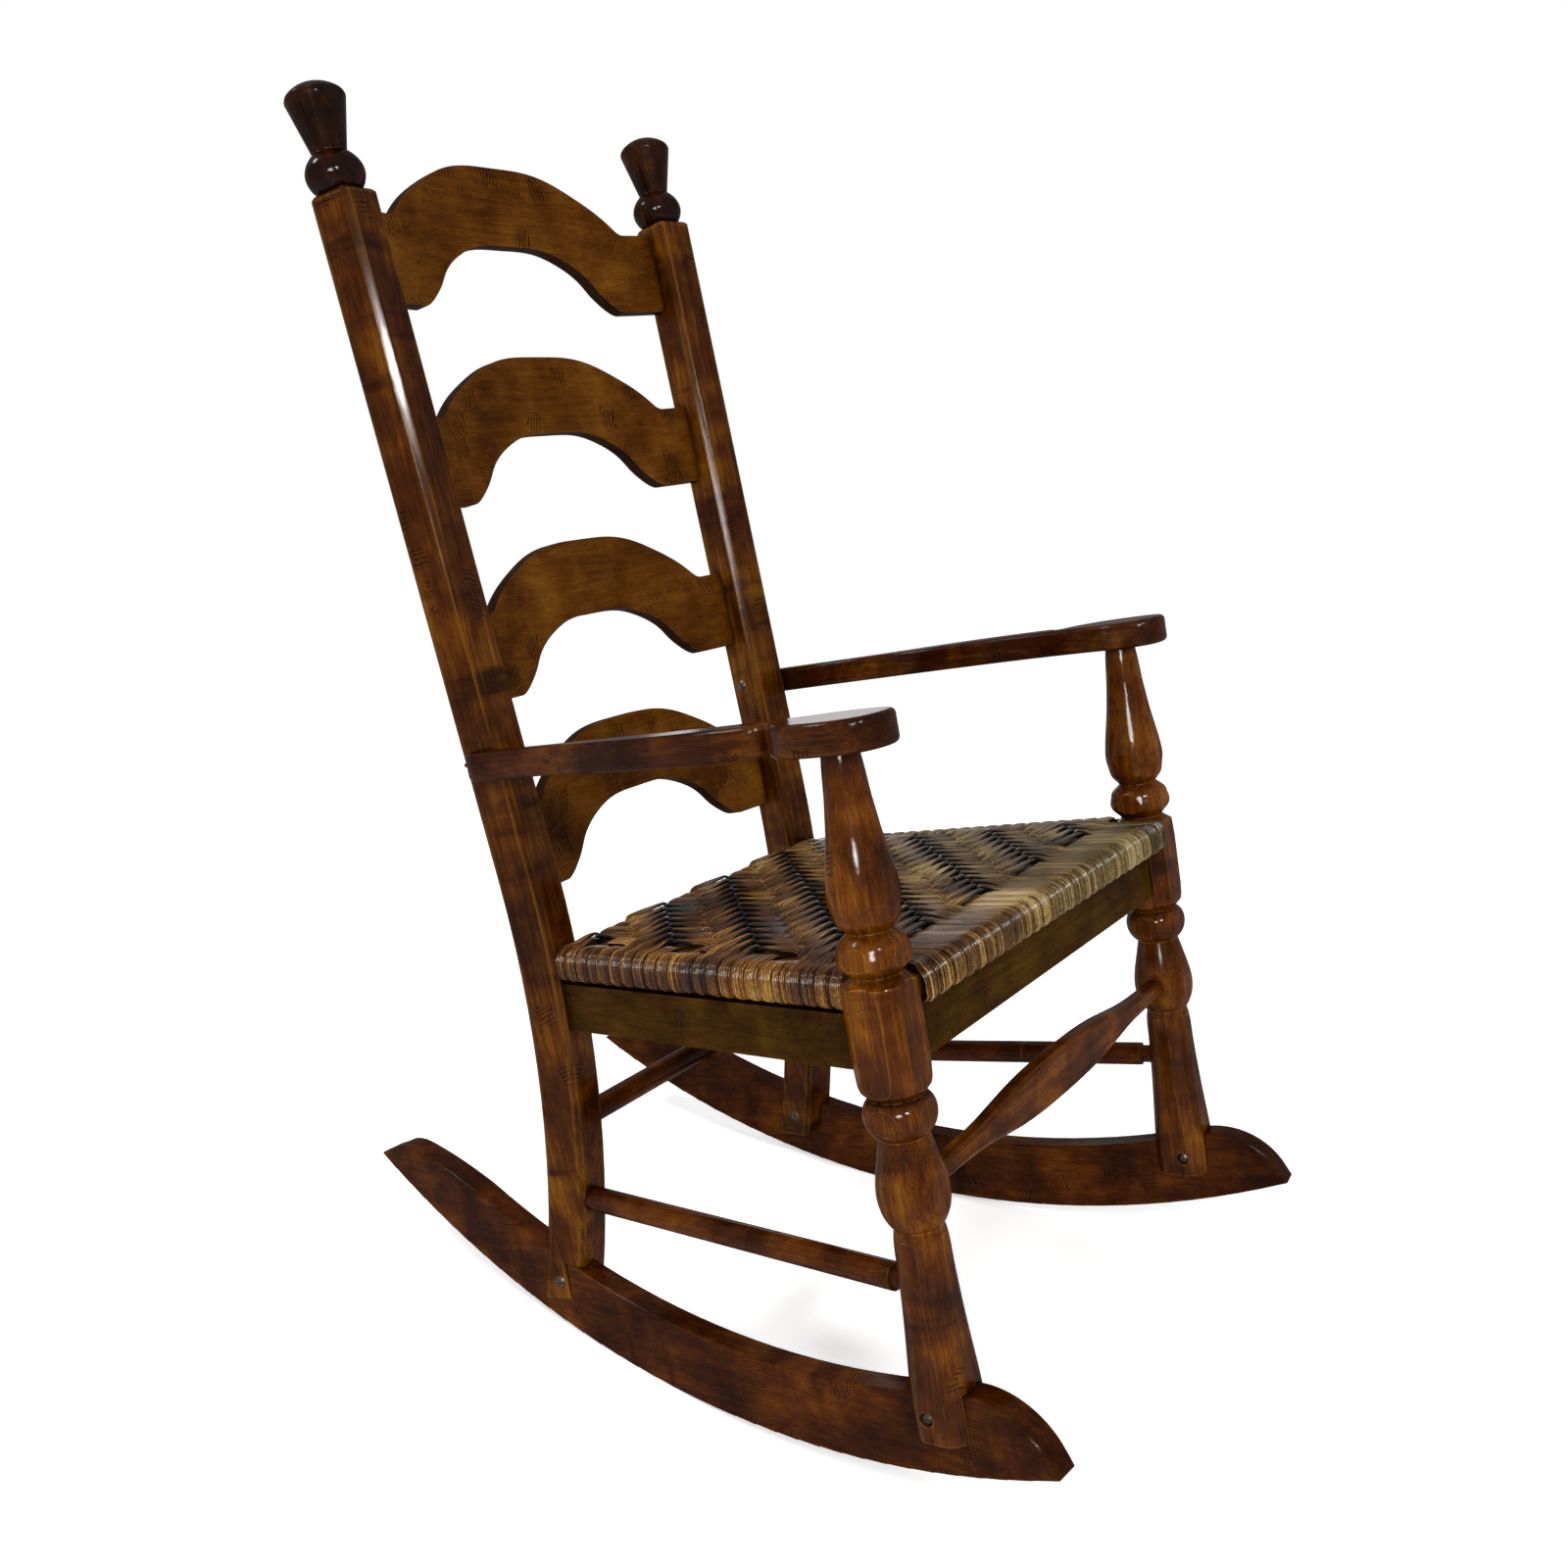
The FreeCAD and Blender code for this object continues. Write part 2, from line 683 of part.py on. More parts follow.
def wovenSeat():
    body = seatSlab(0)
    for room in (seatNotch(), postNotch()):
        body = body.cut(room).cut(mirrored(room))
    body = body.cut(seatSlab(seat_skin))
    rail = sideRail()[0]        # leaves the weave at the rear edge, on its way into the post
    return body.cut(rail).cut(mirrored(rail))


# Stretchers

def rod(radius, start, end):
    return Part.makeCylinder(radius, (end - start).Length, start, end - start)


def sideStretcherEnds():
    front = point(leg_half_spacing, 0, side_stretcher_z)
    return front, postAxis(side_stretcher_z + side_stretcher_rise)


def sideTenons(gap=0.0):
    front, rear = sideStretcherEnds()
    along = (rear - front).normalize()
    first = front + along * (leg_half_flat - stretcher_tenon - gap)
    last = rear - along * (post_size / 2 - stretcher_tenon - gap)
    return rod(stretcher_tenon_radius + gap, first, last)


def sideStretcher():
    front, rear = sideStretcherEnds()
    along = (rear - front).normalize()
    start = front + along * side_stretcher_neck
    body = rod(side_stretcher_radius, start, rear)
    body = body.makeChamfer(side_stretcher_bevel / 2, [e for e in body.Edges if e.Closed][:1])
    body = body.fuse(rod(side_stretcher_neck_radius, front, start + along * side_stretcher_bevel))
    for place in score_places:
        groove = Part.makeTorus(side_stretcher_radius, score_depth, front + along * place, along)
        body = body.cut(groove)
    return body


def rearStretcher():
    end = postAxis(rear_stretcher_z)
    return rod(rear_stretcher_radius, mirroredPoint(end), end)


def rearTenons(gap=0.0):
    end = postAxis(rear_stretcher_z)
    end.x = end.x - post_size / 2 + stretcher_tenon + gap
    return rod(stretcher_tenon_radius + gap, mirroredPoint(end), end)


def mirroredPoint(spot):
    return point(-spot.x, spot.y, spot.z)


def frontStretcher():
    extra = front_stretcher_swell - front_stretcher_end
    middle = front_stretcher_z
    upper = slatPoints(swell_shares, leg_half_spacing, extra, middle + front_stretcher_end)
    lower = [point(p.x, 0, 2 * middle - p.z) for p in upper]
    edges = [spline(upper), spline(lower), line(upper[0], lower[0]), line(upper[-1], lower[-1])]
    body = moved(faceOf(edges), back * front_stretcher_front_y).extrude(back * front_stretcher_thickness)
    return body.makeChamfer(front_stretcher_bevel, longEdges(body, leg_half_spacing, 1))


def frontTenons(gap=0.0):
    y = front_stretcher_front_y + front_stretcher_thickness / 2
    reach = leg_half_spacing - leg_half_flat + stretcher_tenon + gap
    return rod(stretcher_tenon_radius + gap, point(-reach, y, front_stretcher_z),
               point(reach, y, front_stretcher_z))


# The chair

def fitted(body, tenon, blanks):
    # shouldered on the pieces that it meets, with its tenons put back
    for blank in blanks:
        body = body.cut(blank)
    solid = max(body.Solids, key=lambda piece: piece.Volume)
    return joined(solid, tenon)


def pair(nodes, name, shape):
    nodes[name + "_right"] = shape
    nodes[name + "_left"] = mirrored(shape)


def buildChair():
    nodes = {}
    leg = legBlank()
    post = postBlank()
    arm = armBlank()
    both = [leg, mirrored(leg), post, mirrored(post)]
    slats = [slat(index) for index in range(slat_count)]

    pair(nodes, "rocker", placeRocker(rockerBoard()))
    for cutter in legScrews(fit) + postScrews(fit)[:2]:
        nodes["rocker_right"] = nodes["rocker_right"].cut(cutter)
        nodes["rocker_left"] = nodes["rocker_left"].cut(mirrored(cutter))

    front_leg = leg.cut(arm).cut(rockerSlot())
    tenon = legTenon()
    front_leg = joined(front_leg, tenon)
    for cutter in [sideApron(fit), frontApron(fit), sideRail(fit), frontRail(fit), sideTenons(fit),
                   frontTenons(fit)] + legScrews(fit):
        front_leg = front_leg.cut(cutter)
    pair(nodes, "front_leg", front_leg)

    rear_post = post.cut(rockerSlot()).cut(postTopPlace(finialTenon(fit)))
    for cutter in [slat(index, fit) for index in range(slat_count)] + postScrews(fit):
        rear_post = rear_post.cut(cutter)
    for cutter in (sideApron(fit), rearApron(fit), sideRail(fit), sideTenons(fit), rearTenons(fit)):
        rear_post = rear_post.cut(cutter)
    pair(nodes, "rear_post", rear_post)
    pair(nodes, "finial", postTopPlace(finial()))

    for index, piece in enumerate(slats):
        nodes["slat_%d" % (index + 1)] = piece
    pair(nodes, "arm", arm.cut(post).cut(legTenon(fit)).cut(postScrews(fit)[2]))

    pair(nodes, "side_apron", fitted(*sideApron(), both))
    nodes["front_apron"] = fitted(*frontApron(), both)
    nodes["rear_apron"] = fitted(*rearApron(), both)
    rear_mortise = rearRail(fit)
    pair(nodes, "seat_rail_side", fitted(*sideRail(), both).cut(rear_mortise))
    nodes["seat_rail_front"] = fitted(*frontRail(), both)
    nodes["seat_rail_rear"] = fitted(*rearRail(), [sideRail()[0], mirrored(sideRail()[0])])
    nodes["woven_seat"] = wovenSeat()

    pair(nodes, "side_stretcher", fitted(sideStretcher(), sideTenons(), both))
    nodes["rear_stretcher"] = fitted(rearStretcher(), rearTenons(), both)
    nodes["front_stretcher"] = fitted(frontStretcher(), frontTenons(), both)

    foot = legScrews() + postScrews()[:2]
    nodes["foot_screws"] = Part.makeCompound(foot + [mirrored(piece) for piece in foot])
    hold = postScrews()[2]
    nodes["arm_screws"] = Part.makeCompound([hold, mirrored(hold)])
    return nodes


def restTilt(nodes):
    # how far the chair leans back when its weight hangs under the rockers' support
    solids = [solid for shape in nodes.values() for solid in shape.Solids]
    total = sum(solid.Volume for solid in solids)
    centre = sum((solid.CenterOfMass * solid.Volume for solid in solids), origin * 1) * (1 / total)
    toe = math.cos(math.radians(rocker_toe))
    reach = centre.y - rocker_centre_y * toe
    drop = rocker_centre_z - centre.z
    tilt = math.atan2(reach, drop)
    for _ in range(8):
        # the rockers stand at an angle, so their arcs are slightly narrow seen from the side
        narrow = rocker_radius * (1 - toe ** 2) * math.cos(tilt)
        tilt = math.atan2(reach, drop - narrow)
    return math.degrees(tilt), centre


def main():
    nodes = buildChair()
    tilt, centre = restTilt(nodes)
    leaned = {name: turned(shape, across, -tilt) for name, shape in nodes.items()}
    bounds = Part.makeCompound(list(leaned.values())).optimalBoundingBox(False)
    base = point(bounds.Center.x, bounds.Center.y, bounds.ZMin)
    print("rest tilt %.3f degrees, weight at y %.1f z %.1f" % (tilt, centre.y, centre.z))
    print("origin in the upright frame after leaning: y %.3f z %.3f" % (base.y, base.z))
    print("size %.1f x %.1f x %.1f" % (bounds.XLength, bounds.YLength, bounds.ZLength))
    os.makedirs("parts", exist_ok=True)
    for name, shape in leaned.items():
        placed = moved(shape, base * -1)
        print(name, len(placed.Solids), round(placed.Volume / 1000, 1), placed.isValid())
        placed.exportStep("parts/%s.step" % name)


main()
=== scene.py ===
import math
import random

import bpy
import bmesh
import numpy as np
from mathutils import Matrix, Vector


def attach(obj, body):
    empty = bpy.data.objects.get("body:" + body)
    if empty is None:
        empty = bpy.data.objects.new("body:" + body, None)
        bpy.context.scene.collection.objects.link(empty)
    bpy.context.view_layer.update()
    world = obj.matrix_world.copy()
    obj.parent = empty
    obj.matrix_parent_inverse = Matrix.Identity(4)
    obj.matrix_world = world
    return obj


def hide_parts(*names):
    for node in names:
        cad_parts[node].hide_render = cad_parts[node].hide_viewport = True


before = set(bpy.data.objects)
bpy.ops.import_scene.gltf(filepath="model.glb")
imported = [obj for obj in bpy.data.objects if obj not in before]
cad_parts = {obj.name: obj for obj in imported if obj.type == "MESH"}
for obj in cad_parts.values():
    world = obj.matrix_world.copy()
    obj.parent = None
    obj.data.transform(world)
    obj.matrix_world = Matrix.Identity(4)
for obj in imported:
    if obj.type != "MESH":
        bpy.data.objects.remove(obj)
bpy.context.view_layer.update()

# The chair is drawn upright and then leaned back, in mm and degrees, as its solids are
chair = {
    "restTilt": 12.487,
    "baseY": 326.941,
    "baseZ": -59.350,
}

camera = {
    "place": (-1181.0, -642.4, 747.6),      # upright frame, mm
    "toward": (0.79166702, 0.58023517, -0.19128638),
    "up": (0.25264646, -0.02584663, 0.96721338),
    "focalPixels": 1586.54,
    "centrePixels": (832.87, 870.39),
    "framePixels": 1600.0,
    "sensor": 36.0,
}

# Each lamp has its place in metres, the watts of its soft light, the watts that only polish and
# varnish see, and the diameter in metres of the disk for these
lights = {
    "front": ((-1.75, -2.1, 2.1), 36.0, 130.0, 0.16),   # glints on the posts' front chamfers
    "window": ((-2.8, -1.4, 1.6), 20.0, 240.0, 0.7),    # behind the camera, down the turnings
    "back": ((-0.9, 1.9, 2.5), 30.0, 90.0, 0.4),        # along the arms' edges and the wrapped rail
    "far": ((2.9, 2.2, 0.75), 0.0, 18.0, 1.1),          # low behind the chair, over arms and seat
    "softSize": 0.45,         # diameter of the soft disks
    "aim": (0.0, 0.0, 0.5),
    "worldStrength": 0.5,
}


def leaned(x, y, z):
    # points of the upright frame, as the leaned chair has them, both in mm
    tilt = math.radians(chair["restTilt"])
    back = y * math.cos(tilt) + z * math.sin(tilt) - chair["baseY"]
    high = -y * math.sin(tilt) + z * math.cos(tilt) - chair["baseZ"]
    return x, back, high


def upright(x, y, z):
    # a point of the upright frame in mm, as the leaned chair has it in metres
    return Vector(leaned(x, y, z)) / 1000


def uprightTurn(vector):
    # a direction of the upright frame, as the leaned chair has it
    tilt = math.radians(chair["restTilt"])
    return Matrix.Rotation(-tilt, 3, "X") @ Vector(vector)


def linear(hexColour):
    # sRGB hex to the linear colour that a shader takes
    parts = [int(hexColour[i:i + 2], 16) / 255 for i in (1, 3, 5)]
    curve = [c / 12.92 if c <= 0.04045 else ((c + 0.055) / 1.055) ** 2.4 for c in parts]
    return (*curve, 1.0)


# Camera

print("camera")
lens = camera["focalPixels"] / camera["framePixels"] * camera["sensor"]
half = camera["framePixels"] / 2
cameraData = bpy.data.cameras.new("camera")
cameraData.lens = lens
cameraData.sensor_width = camera["sensor"]
cameraData.shift_x = (half - camera["centrePixels"][0]) / camera["framePixels"]
cameraData.shift_y = (camera["centrePixels"][1] - half) / camera["framePixels"]
cameraObject = bpy.data.objects.new("camera", cameraData)
bpy.context.collection.objects.link(cameraObject)
toward = uprightTurn(camera["toward"]).normalized()
right = toward.cross(uprightTurn(camera["up"])).normalized()
up = right.cross(toward)
turn = Matrix((right, up, -toward)).transposed().to_4x4()
cameraObject.matrix_world = Matrix.Translation(upright(*camera["place"])) @ turn
bpy.context.scene.camera = cameraObject
bpy.context.scene.view_settings.view_transform = "Standard"


# Shader nodes

def addNode(tree, kind, settings=None, inputs=None, output=0):
    # settings are the node's own and may hold a ramp's stops; inputs take a constant or another
    # node's output. It gives back the chosen output, or the node where output is None
    node = tree.nodes.new("ShaderNode" + kind)
    for key, value in (settings or {}).items():
        if key != "stops":
            setattr(node, key, value)
            continue
        elements = node.color_ramp.elements
        while len(elements) < len(value):
            elements.new(0.5)
        for element, (place, colour) in zip(elements, value):
            element.position = place
            element.color = linear(colour) if isinstance(colour, str) else (colour, colour, colour, 1)
    for key, value in (inputs or {}).items():
        if hasattr(value, "is_output"):
            tree.links.new(value, node.inputs[key])
        else:
            node.inputs[key].default_value = value
    return node if output is None else node.outputs[output]


def newMaterial(name):
    material = bpy.data.materials.new(name)
    material.use_nodes = True
    material.node_tree.nodes.clear()
    return material, material.node_tree


# Settings that many nodes share

multiply = {"operation": "MULTIPLY"}
multiplyAdd = {"operation": "MULTIPLY_ADD"}
maximum = {"operation": "MAXIMUM"}
lessThan = {"operation": "LESS_THAN"}
dotProduct = {"operation": "DOT_PRODUCT"}
mixColours = {"data_type": "RGBA"}
intoTexture = {"vector_type": "TEXTURE"}


def grainPattern(tree, local, width, length, inputs):
    # noise in features of this width and length in mm, drawn out along the grain
    fine = 1000 / width
    drawn = addNode(tree, "Mapping", None, {"Vector": local, "Scale": (fine, fine, 1000 / length)})
    return addNode(tree, "TexNoise", None, {"Vector": drawn, "Scale": 1.0, **inputs})


# Wood

wood = {
    "streakWidth": 0.8,       # mm across a fine grain line, as all lengths here
    "streakLength": 30.0,
    "figureWidth": 6.0,       # across a band of growth
    "figureLength": 110.0,
    "blotch": 70.0,           # across a patch of stain
    "streakShare": 0.75,      # how far each of the three moves the tone
    "figureShare": 0.55,
    "blotchShare": 1.4,
    "toneMiddle": 1.35,       # what the three add up to on average
    "bandWidth": 250.0,
    "bandLength": 45.0,       # along the grain of a dark band
    "poreWidth": 0.5,
    "poreLength": 7.0,
    "fleck": 8.5,             # between flecks of dark stain
    "fleckRarity": 6.0,       # the higher this power, the fewer are large
    "fleckSize": 0.13,        # radius of the largest, as a share of the distance between them
    "fleckStain": 0.85,
    "nickCell": 52.0,         # between clusters of nicks
    "nickScatter": 0.85,      # how irregular the clusters lie
    "nickSpacing": 4.2,       # from one nick to the next
    "nickHalfLength": 8.0,
    "nickSpread": 10.0,       # half-width of a cluster
    "nickWobble": 7.0,        # between the bends of a nick
    "nickBend": 5.5,
    "nickEdge": 0.55,         # height of the wave above which a nick is cut
    "nickStain": 0.82,
    "hollow": 12.0,           # out of a corner that the painted shade reaches
    "roughSpread": 0.3,
    "bump": 0.35,
    "coatBump": 0.05,         # the varnish fills most of the relief
    "bumpDepth": 0.7,
    "coatRoughness": 0.09,
}


def stainedWood(name, turnAngles, tones, seed, roughness=0.34, nicks=0.6, wear=2.2, worn="#8a5a1c",
                wornShare=0.6, contrast=1.0, gloss=0.1, bands=0.0, narrowFaceShade=0.0):
    # hickory under a brown stain and rubbed varnish: fine streaks along the grain, soft patches and
    # bands of stain, dark flecks, nicks in small clusters, painted shade in the hollows and edges worn
    # to the bare colour; a board's narrow faces may get painted shade, darker than its broad faces.
    # The width of a worn edge is in mm, and nicks, wornShare, bands and narrowFaceShade are shares
    material, tree = newMaterial(name)
    place = addNode(tree, "TexCoord", output=3)
    shift = (seed, seed * 0.7, seed * 1.3)
    # local z runs along the grain
    local = addNode(tree, "Mapping", intoTexture,
                    {"Vector": place, "Rotation": turnAngles, "Location": shift})
    streaks = grainPattern(tree, local, wood["streakWidth"], wood["streakLength"],
                           {"Detail": 4.0, "Roughness": 0.65, "Distortion": 0.25})
    figure = grainPattern(tree, local, wood["figureWidth"], wood["figureLength"],
                          {"Detail": 3.0, "Distortion": 0.9})
    blotch = addNode(tree, "TexNoise", None, {"Vector": local, "Scale": 1000 / wood["blotch"],
                                              "Detail": 3.0, "Roughness": 0.6})
    tone = 0.5 - wood["toneMiddle"] * contrast
    for pattern, share in ((streaks, "streakShare"), (figure, "figureShare"), (blotch, "blotchShare")):
        tone = addNode(tree, "Math", multiplyAdd, {0: pattern, 1: wood[share] * contrast, 2: tone})

    # bands where the stain was laid twice
    bandNoise = grainPattern(tree, local, wood["bandWidth"], wood["bandLength"],
                             {"Detail": 4.0, "Roughness": 0.6})
    bandMask = addNode(tree, "ValToRGB", {"stops": ((0.55, 0.0), (0.66, 1.0))}, {"Fac": bandNoise})
    bandMask = addNode(tree, "Math", multiply, {0: bandMask, 1: bands})

    # pores: very fine dark dashes along the grain
    pores = grainPattern(tree, local, wood["poreWidth"], wood["poreLength"], {"Detail": 1.0})
    poreMask = addNode(tree, "ValToRGB", {"stops": ((0.28, 0.5), (0.42, 0.0))}, {"Fac": pores})

    # flecks of dark stain
    flecks = addNode(tree, "TexVoronoi", None, {"Vector": local, "Scale": 1000 / wood["fleck"]}, None)
    fleckChance = addNode(tree, "SeparateColor", None, {0: flecks.outputs["Color"]})
    fleckSize = addNode(tree, "Math", {"operation": "POWER"}, {0: fleckChance, 1: wood["fleckRarity"]})
    fleckSize = addNode(tree, "Math", multiply, {0: fleckSize, 1: wood["fleckSize"]})
    fleckMask = addNode(tree, "Math", lessThan, {0: flecks.outputs["Distance"], 1: fleckSize})
    fleckMask = addNode(tree, "Math", multiply, {0: fleckMask, 1: wood["fleckStain"]})

    # nicks: short bent strokes across the grain, side by side in clusters
    cells = addNode(tree, "TexVoronoi", None, {"Vector": local, "Scale": 1000 / wood["nickCell"],
                                               "Randomness": wood["nickScatter"]}, None)
    offset = addNode(tree, "VectorMath", {"operation": "SUBTRACT"},
                     {0: local, 1: cells.outputs["Position"]})
    parts = addNode(tree, "SeparateXYZ", None, {0: offset}, None)
    chance = addNode(tree, "SeparateColor", None, {0: cells.outputs["Color"]}, None)
    wobble = addNode(tree, "TexNoise", None, {"Vector": local, "Scale": 1000 / wood["nickWobble"],
                                              "Detail": 2.0})
    sideways = addNode(tree, "Math", {"operation": "ADD"}, {0: parts.outputs[0], 1: parts.outputs[1]})
    slant = addNode(tree, "Math", {"operation": "SUBTRACT"}, {0: chance.outputs[1], 1: 0.5})
    course = addNode(tree, "Math", multiplyAdd, {0: sideways, 1: slant, 2: parts.outputs[2]})
    course = addNode(tree, "Math", multiplyAdd, {0: wobble, 1: wood["nickBend"] / 1000, 2: course})
    turns = 2 * math.pi * 1000 / wood["nickSpacing"]
    wave = addNode(tree, "Math", multiply, {0: course, 1: turns})
    wave = addNode(tree, "Math", {"operation": "SINE"}, {0: wave})
    nickMask = addNode(tree, "Math", {"operation": "GREATER_THAN"}, {0: wave, 1: wood["nickEdge"]})
    longest = 2 * wood["nickHalfLength"] / 1000
    reach = addNode(tree, "Math", multiply, {0: wobble, 1: longest})
    across = addNode(tree, "Math", {"operation": "ABSOLUTE"}, {0: sideways})
    inLength = addNode(tree, "Math", lessThan, {0: across, 1: reach})
    away = addNode(tree, "Math", {"operation": "ABSOLUTE"}, {0: parts.outputs[2]})
    inSpread = addNode(tree, "Math", lessThan, {0: away, 1: wood["nickSpread"] / 1000})
    chosen = addNode(tree, "Math", lessThan, {0: chance.outputs[0], 1: nicks})
    for part in (inLength, inSpread, chosen):
        nickMask = addNode(tree, "Math", multiply, {0: nickMask, 1: part})
    nickShade = addNode(tree, "Math", multiply, {0: nickMask, 1: wood["nickStain"]})

    # painted shade on the narrow faces, those which don't face the front or the back
    normal = addNode(tree, "NewGeometry", output=1)
    boardFace = tuple(uprightTurn((0, 1, 0)))
    broad = addNode(tree, "VectorMath", dotProduct, {0: normal, 1: boardFace}, 1)
    broad = addNode(tree, "Math", {"operation": "ABSOLUTE"}, {0: broad})
    paintedNarrowShade = addNode(tree, "ValToRGB", {"stops": ((0.3, 1.0), (0.7, 0.0))}, {"Fac": broad})
    paintedNarrowShade = addNode(tree, "Math", multiply, {0: paintedNarrowShade, 1: narrowFaceShade})

    # edges worn through to the paler wood, in patches
    bevel = addNode(tree, "Bevel", {"samples": 4}, {"Radius": wear / 1000})
    facing = addNode(tree, "VectorMath", dotProduct, {0: bevel, 1: normal}, 1)
    rub = addNode(tree, "ValToRGB", {"stops": ((0.86, 1.0), (0.985, 0.0))}, {"Fac": facing})
    patches = addNode(tree, "ValToRGB", {"stops": ((0.38, 0.15), (0.56, 1.0))}, {"Fac": figure})
    rub = addNode(tree, "Math", multiply, {0: rub, 1: patches})
    rub = addNode(tree, "Math", multiply, {0: rub, 1: wornShare})

    # painted shade: the colour goes near black where the surface lies deep in a corner or hollow
    hollow = addNode(tree, "AmbientOcclusion", {"samples": 5}, {"Distance": wood["hollow"] / 1000}, 1)
    paintedHollowShade = addNode(tree, "ValToRGB", {"stops": ((0.22, 0.92), (0.82, 0.0))}, {"Fac": hollow})

    # the layers lie over the tones in this order
    colour = addNode(tree, "ValToRGB", {"stops": tones}, {"Fac": tone})
    # the narrow faces' layer and the hollows' layer are painted shade; the others are the wood's own
    # colour
    for mask, layer in ((bandMask, "#210a02"), (poreMask, "#180a03"), (fleckMask, "#0c0502"),
                        (nickShade, "#120602"), (paintedNarrowShade, "#0b0603"), (rub, worn),
                        (paintedHollowShade, "#0a0301")):
        colour = addNode(tree, "Mix", mixColours, {0: mask, 6: colour, 7: linear(layer)}, 2)

    rough = addNode(tree, "Math", multiplyAdd, {0: blotch, 1: wood["roughSpread"],
                                                2: roughness - wood["roughSpread"] / 2})
    height = 0.0
    for pattern, depth in ((figure, 1.1), (streaks, 0.22), (nickMask, -0.8), (poreMask, -0.4)):
        height = addNode(tree, "Math", multiplyAdd, {0: pattern, 1: depth, 2: height})
    relief = {"Height": height, "Normal": bevel, "Distance": wood["bumpDepth"] / 1000}
    bump = addNode(tree, "Bump", None, {**relief, "Strength": wood["bump"]})
    coatBump = addNode(tree, "Bump", None, {**relief, "Strength": wood["coatBump"]})
    shader = addNode(tree, "BsdfPrincipled", None, {
        "Base Color": colour, "Roughness": rough, "Normal": bump, "IOR": 1.5,
        "Specular IOR Level": 0.0, "Coat Weight": gloss, "Coat Roughness": wood["coatRoughness"],
        "Coat IOR": 1.5, "Coat Normal": coatBump})
    addNode(tree, "OutputMaterial", None, {"Surface": shader}, None)
    return material


# Stained tones, from the deepest streaks to the palest
postTones = ((0.0, "#0f0501"), (0.28, "#280f02"), (0.5, "#462104"), (0.72, "#6d4009"), (0.95, "#976719"))
legTones = ((0.0, "#100501"), (0.28, "#2b1002"), (0.5, "#4e2503"), (0.72, "#774406"), (0.95, "#ab771a"))
slatTones = ((0.0, "#1c0d02"), (0.3, "#3d1e05"), (0.5, "#593208"), (0.72, "#714610"), (0.95, "#8c5f1d"))
armTones = ((0.0, "#0c0401"), (0.3, "#200b01"), (0.5, "#341503"), (0.72, "#562d07"), (0.95, "#855515"))
rockerTones = ((0.0, "#0e0401"), (0.3, "#250d02"), (0.5, "#3d1a03"), (0.72, "#5c2f06"), (0.95, "#804e12"))
apronTones = ((0.0, "#140a01"), (0.3, "#261501"), (0.5, "#382102"), (0.72, "#4d3307"), (0.95, "#634814"))
finialTones = ((0.0, "#050201"), (0.28, "#0e0401"), (0.5, "#1a0902"), (0.72, "#341505"), (0.95, "#5a300d"))

lean = math.radians(chair["restTilt"])
alongPost = (-lean - math.radians(3), 0.0, 0.0)
alongLeg = (-lean, 0.0, 0.0)
acrossChair = (0.0, math.radians(90), 0.0)
frontToBack = (math.radians(-90) - lean, 0.0, 0.0)

print("wood")
postWood = stainedWood("brown stained hickory posts", alongPost, postTones, 0.31, nicks=0.45, wear=5.0,
                       worn="#8a5a12", wornShare=1.0, contrast=0.8, gloss=0.09, bands=0.85)
legWood = stainedWood("honey stained hickory turnings", alongLeg, legTones, 1.7, roughness=0.28,
                      nicks=0.4, worn="#a87424", wornShare=0.8, contrast=0.8, gloss=0.13, bands=0.8)
slatWood = stainedWood("rubbed hickory slats", acrossChair, slatTones, 0.92, roughness=0.42, nicks=0.8,
                       worn="#7e4a22", wornShare=0.8, contrast=0.7, gloss=0.04, narrowFaceShade=0.85)
armWood = stainedWood("polished hickory arms", frontToBack, armTones, 2.4, roughness=0.26, nicks=0.35,
                      wear=3.2, contrast=0.85, gloss=0.12, bands=0.6)
rockerWood = stainedWood("brown stained hickory rockers", frontToBack, rockerTones, 3.3, nicks=0.45,
                         contrast=0.8, gloss=0.07, bands=0.6)
apronWood = stainedWood("olive stained hickory aprons", acrossChair, apronTones, 4.1, roughness=0.4,
                        nicks=0.5, wornShare=0.3, contrast=0.65, gloss=0.04)
sideApronWood = stainedWood("olive stained hickory side aprons", frontToBack, apronTones, 5.2,
                            roughness=0.4, nicks=0.5, wornShare=0.3, contrast=0.65, gloss=0.04)
finialWood = stainedWood("black brown stained finials", alongPost, finialTones, 6.0, roughness=0.26,
                         nicks=0.15, worn="#4a250b", contrast=1.2, gloss=0.12)
sideStretcherWood = stainedWood("stained hickory side stretchers", frontToBack, rockerTones, 7.5,
                                nicks=0.3, contrast=0.8, gloss=0.11)
frontStretcherWood = stainedWood("golden stained hickory front stretcher", acrossChair, legTones, 9.4,
                                 nicks=0.3, contrast=0.8, gloss=0.11)
crossStretcherWood = stainedWood("stained hickory cross stretchers", acrossChair, rockerTones, 8.1,
                                 nicks=0.3, contrast=0.8, gloss=0.11)

# How the names of pieces start, and their material
finish = {
    "rear_post": postWood,
    "front_leg": legWood,
    "slat": slatWood,
    "arm_left": armWood,
    "arm_right": armWood,
    "rocker": rockerWood,
    "finial": finialWood,
    "side_apron": sideApronWood,
    "front_apron": apronWood,
    "rear_apron": apronWood,
    "seat_rail": apronWood,
    "side_stretcher": sideStretcherWood,
    "front_stretcher": frontStretcherWood,
    "rear_stretcher": crossStretcherWood,
}

# Screws

screws = {
    "tarnish": 1.5,           # mm across a spot
}


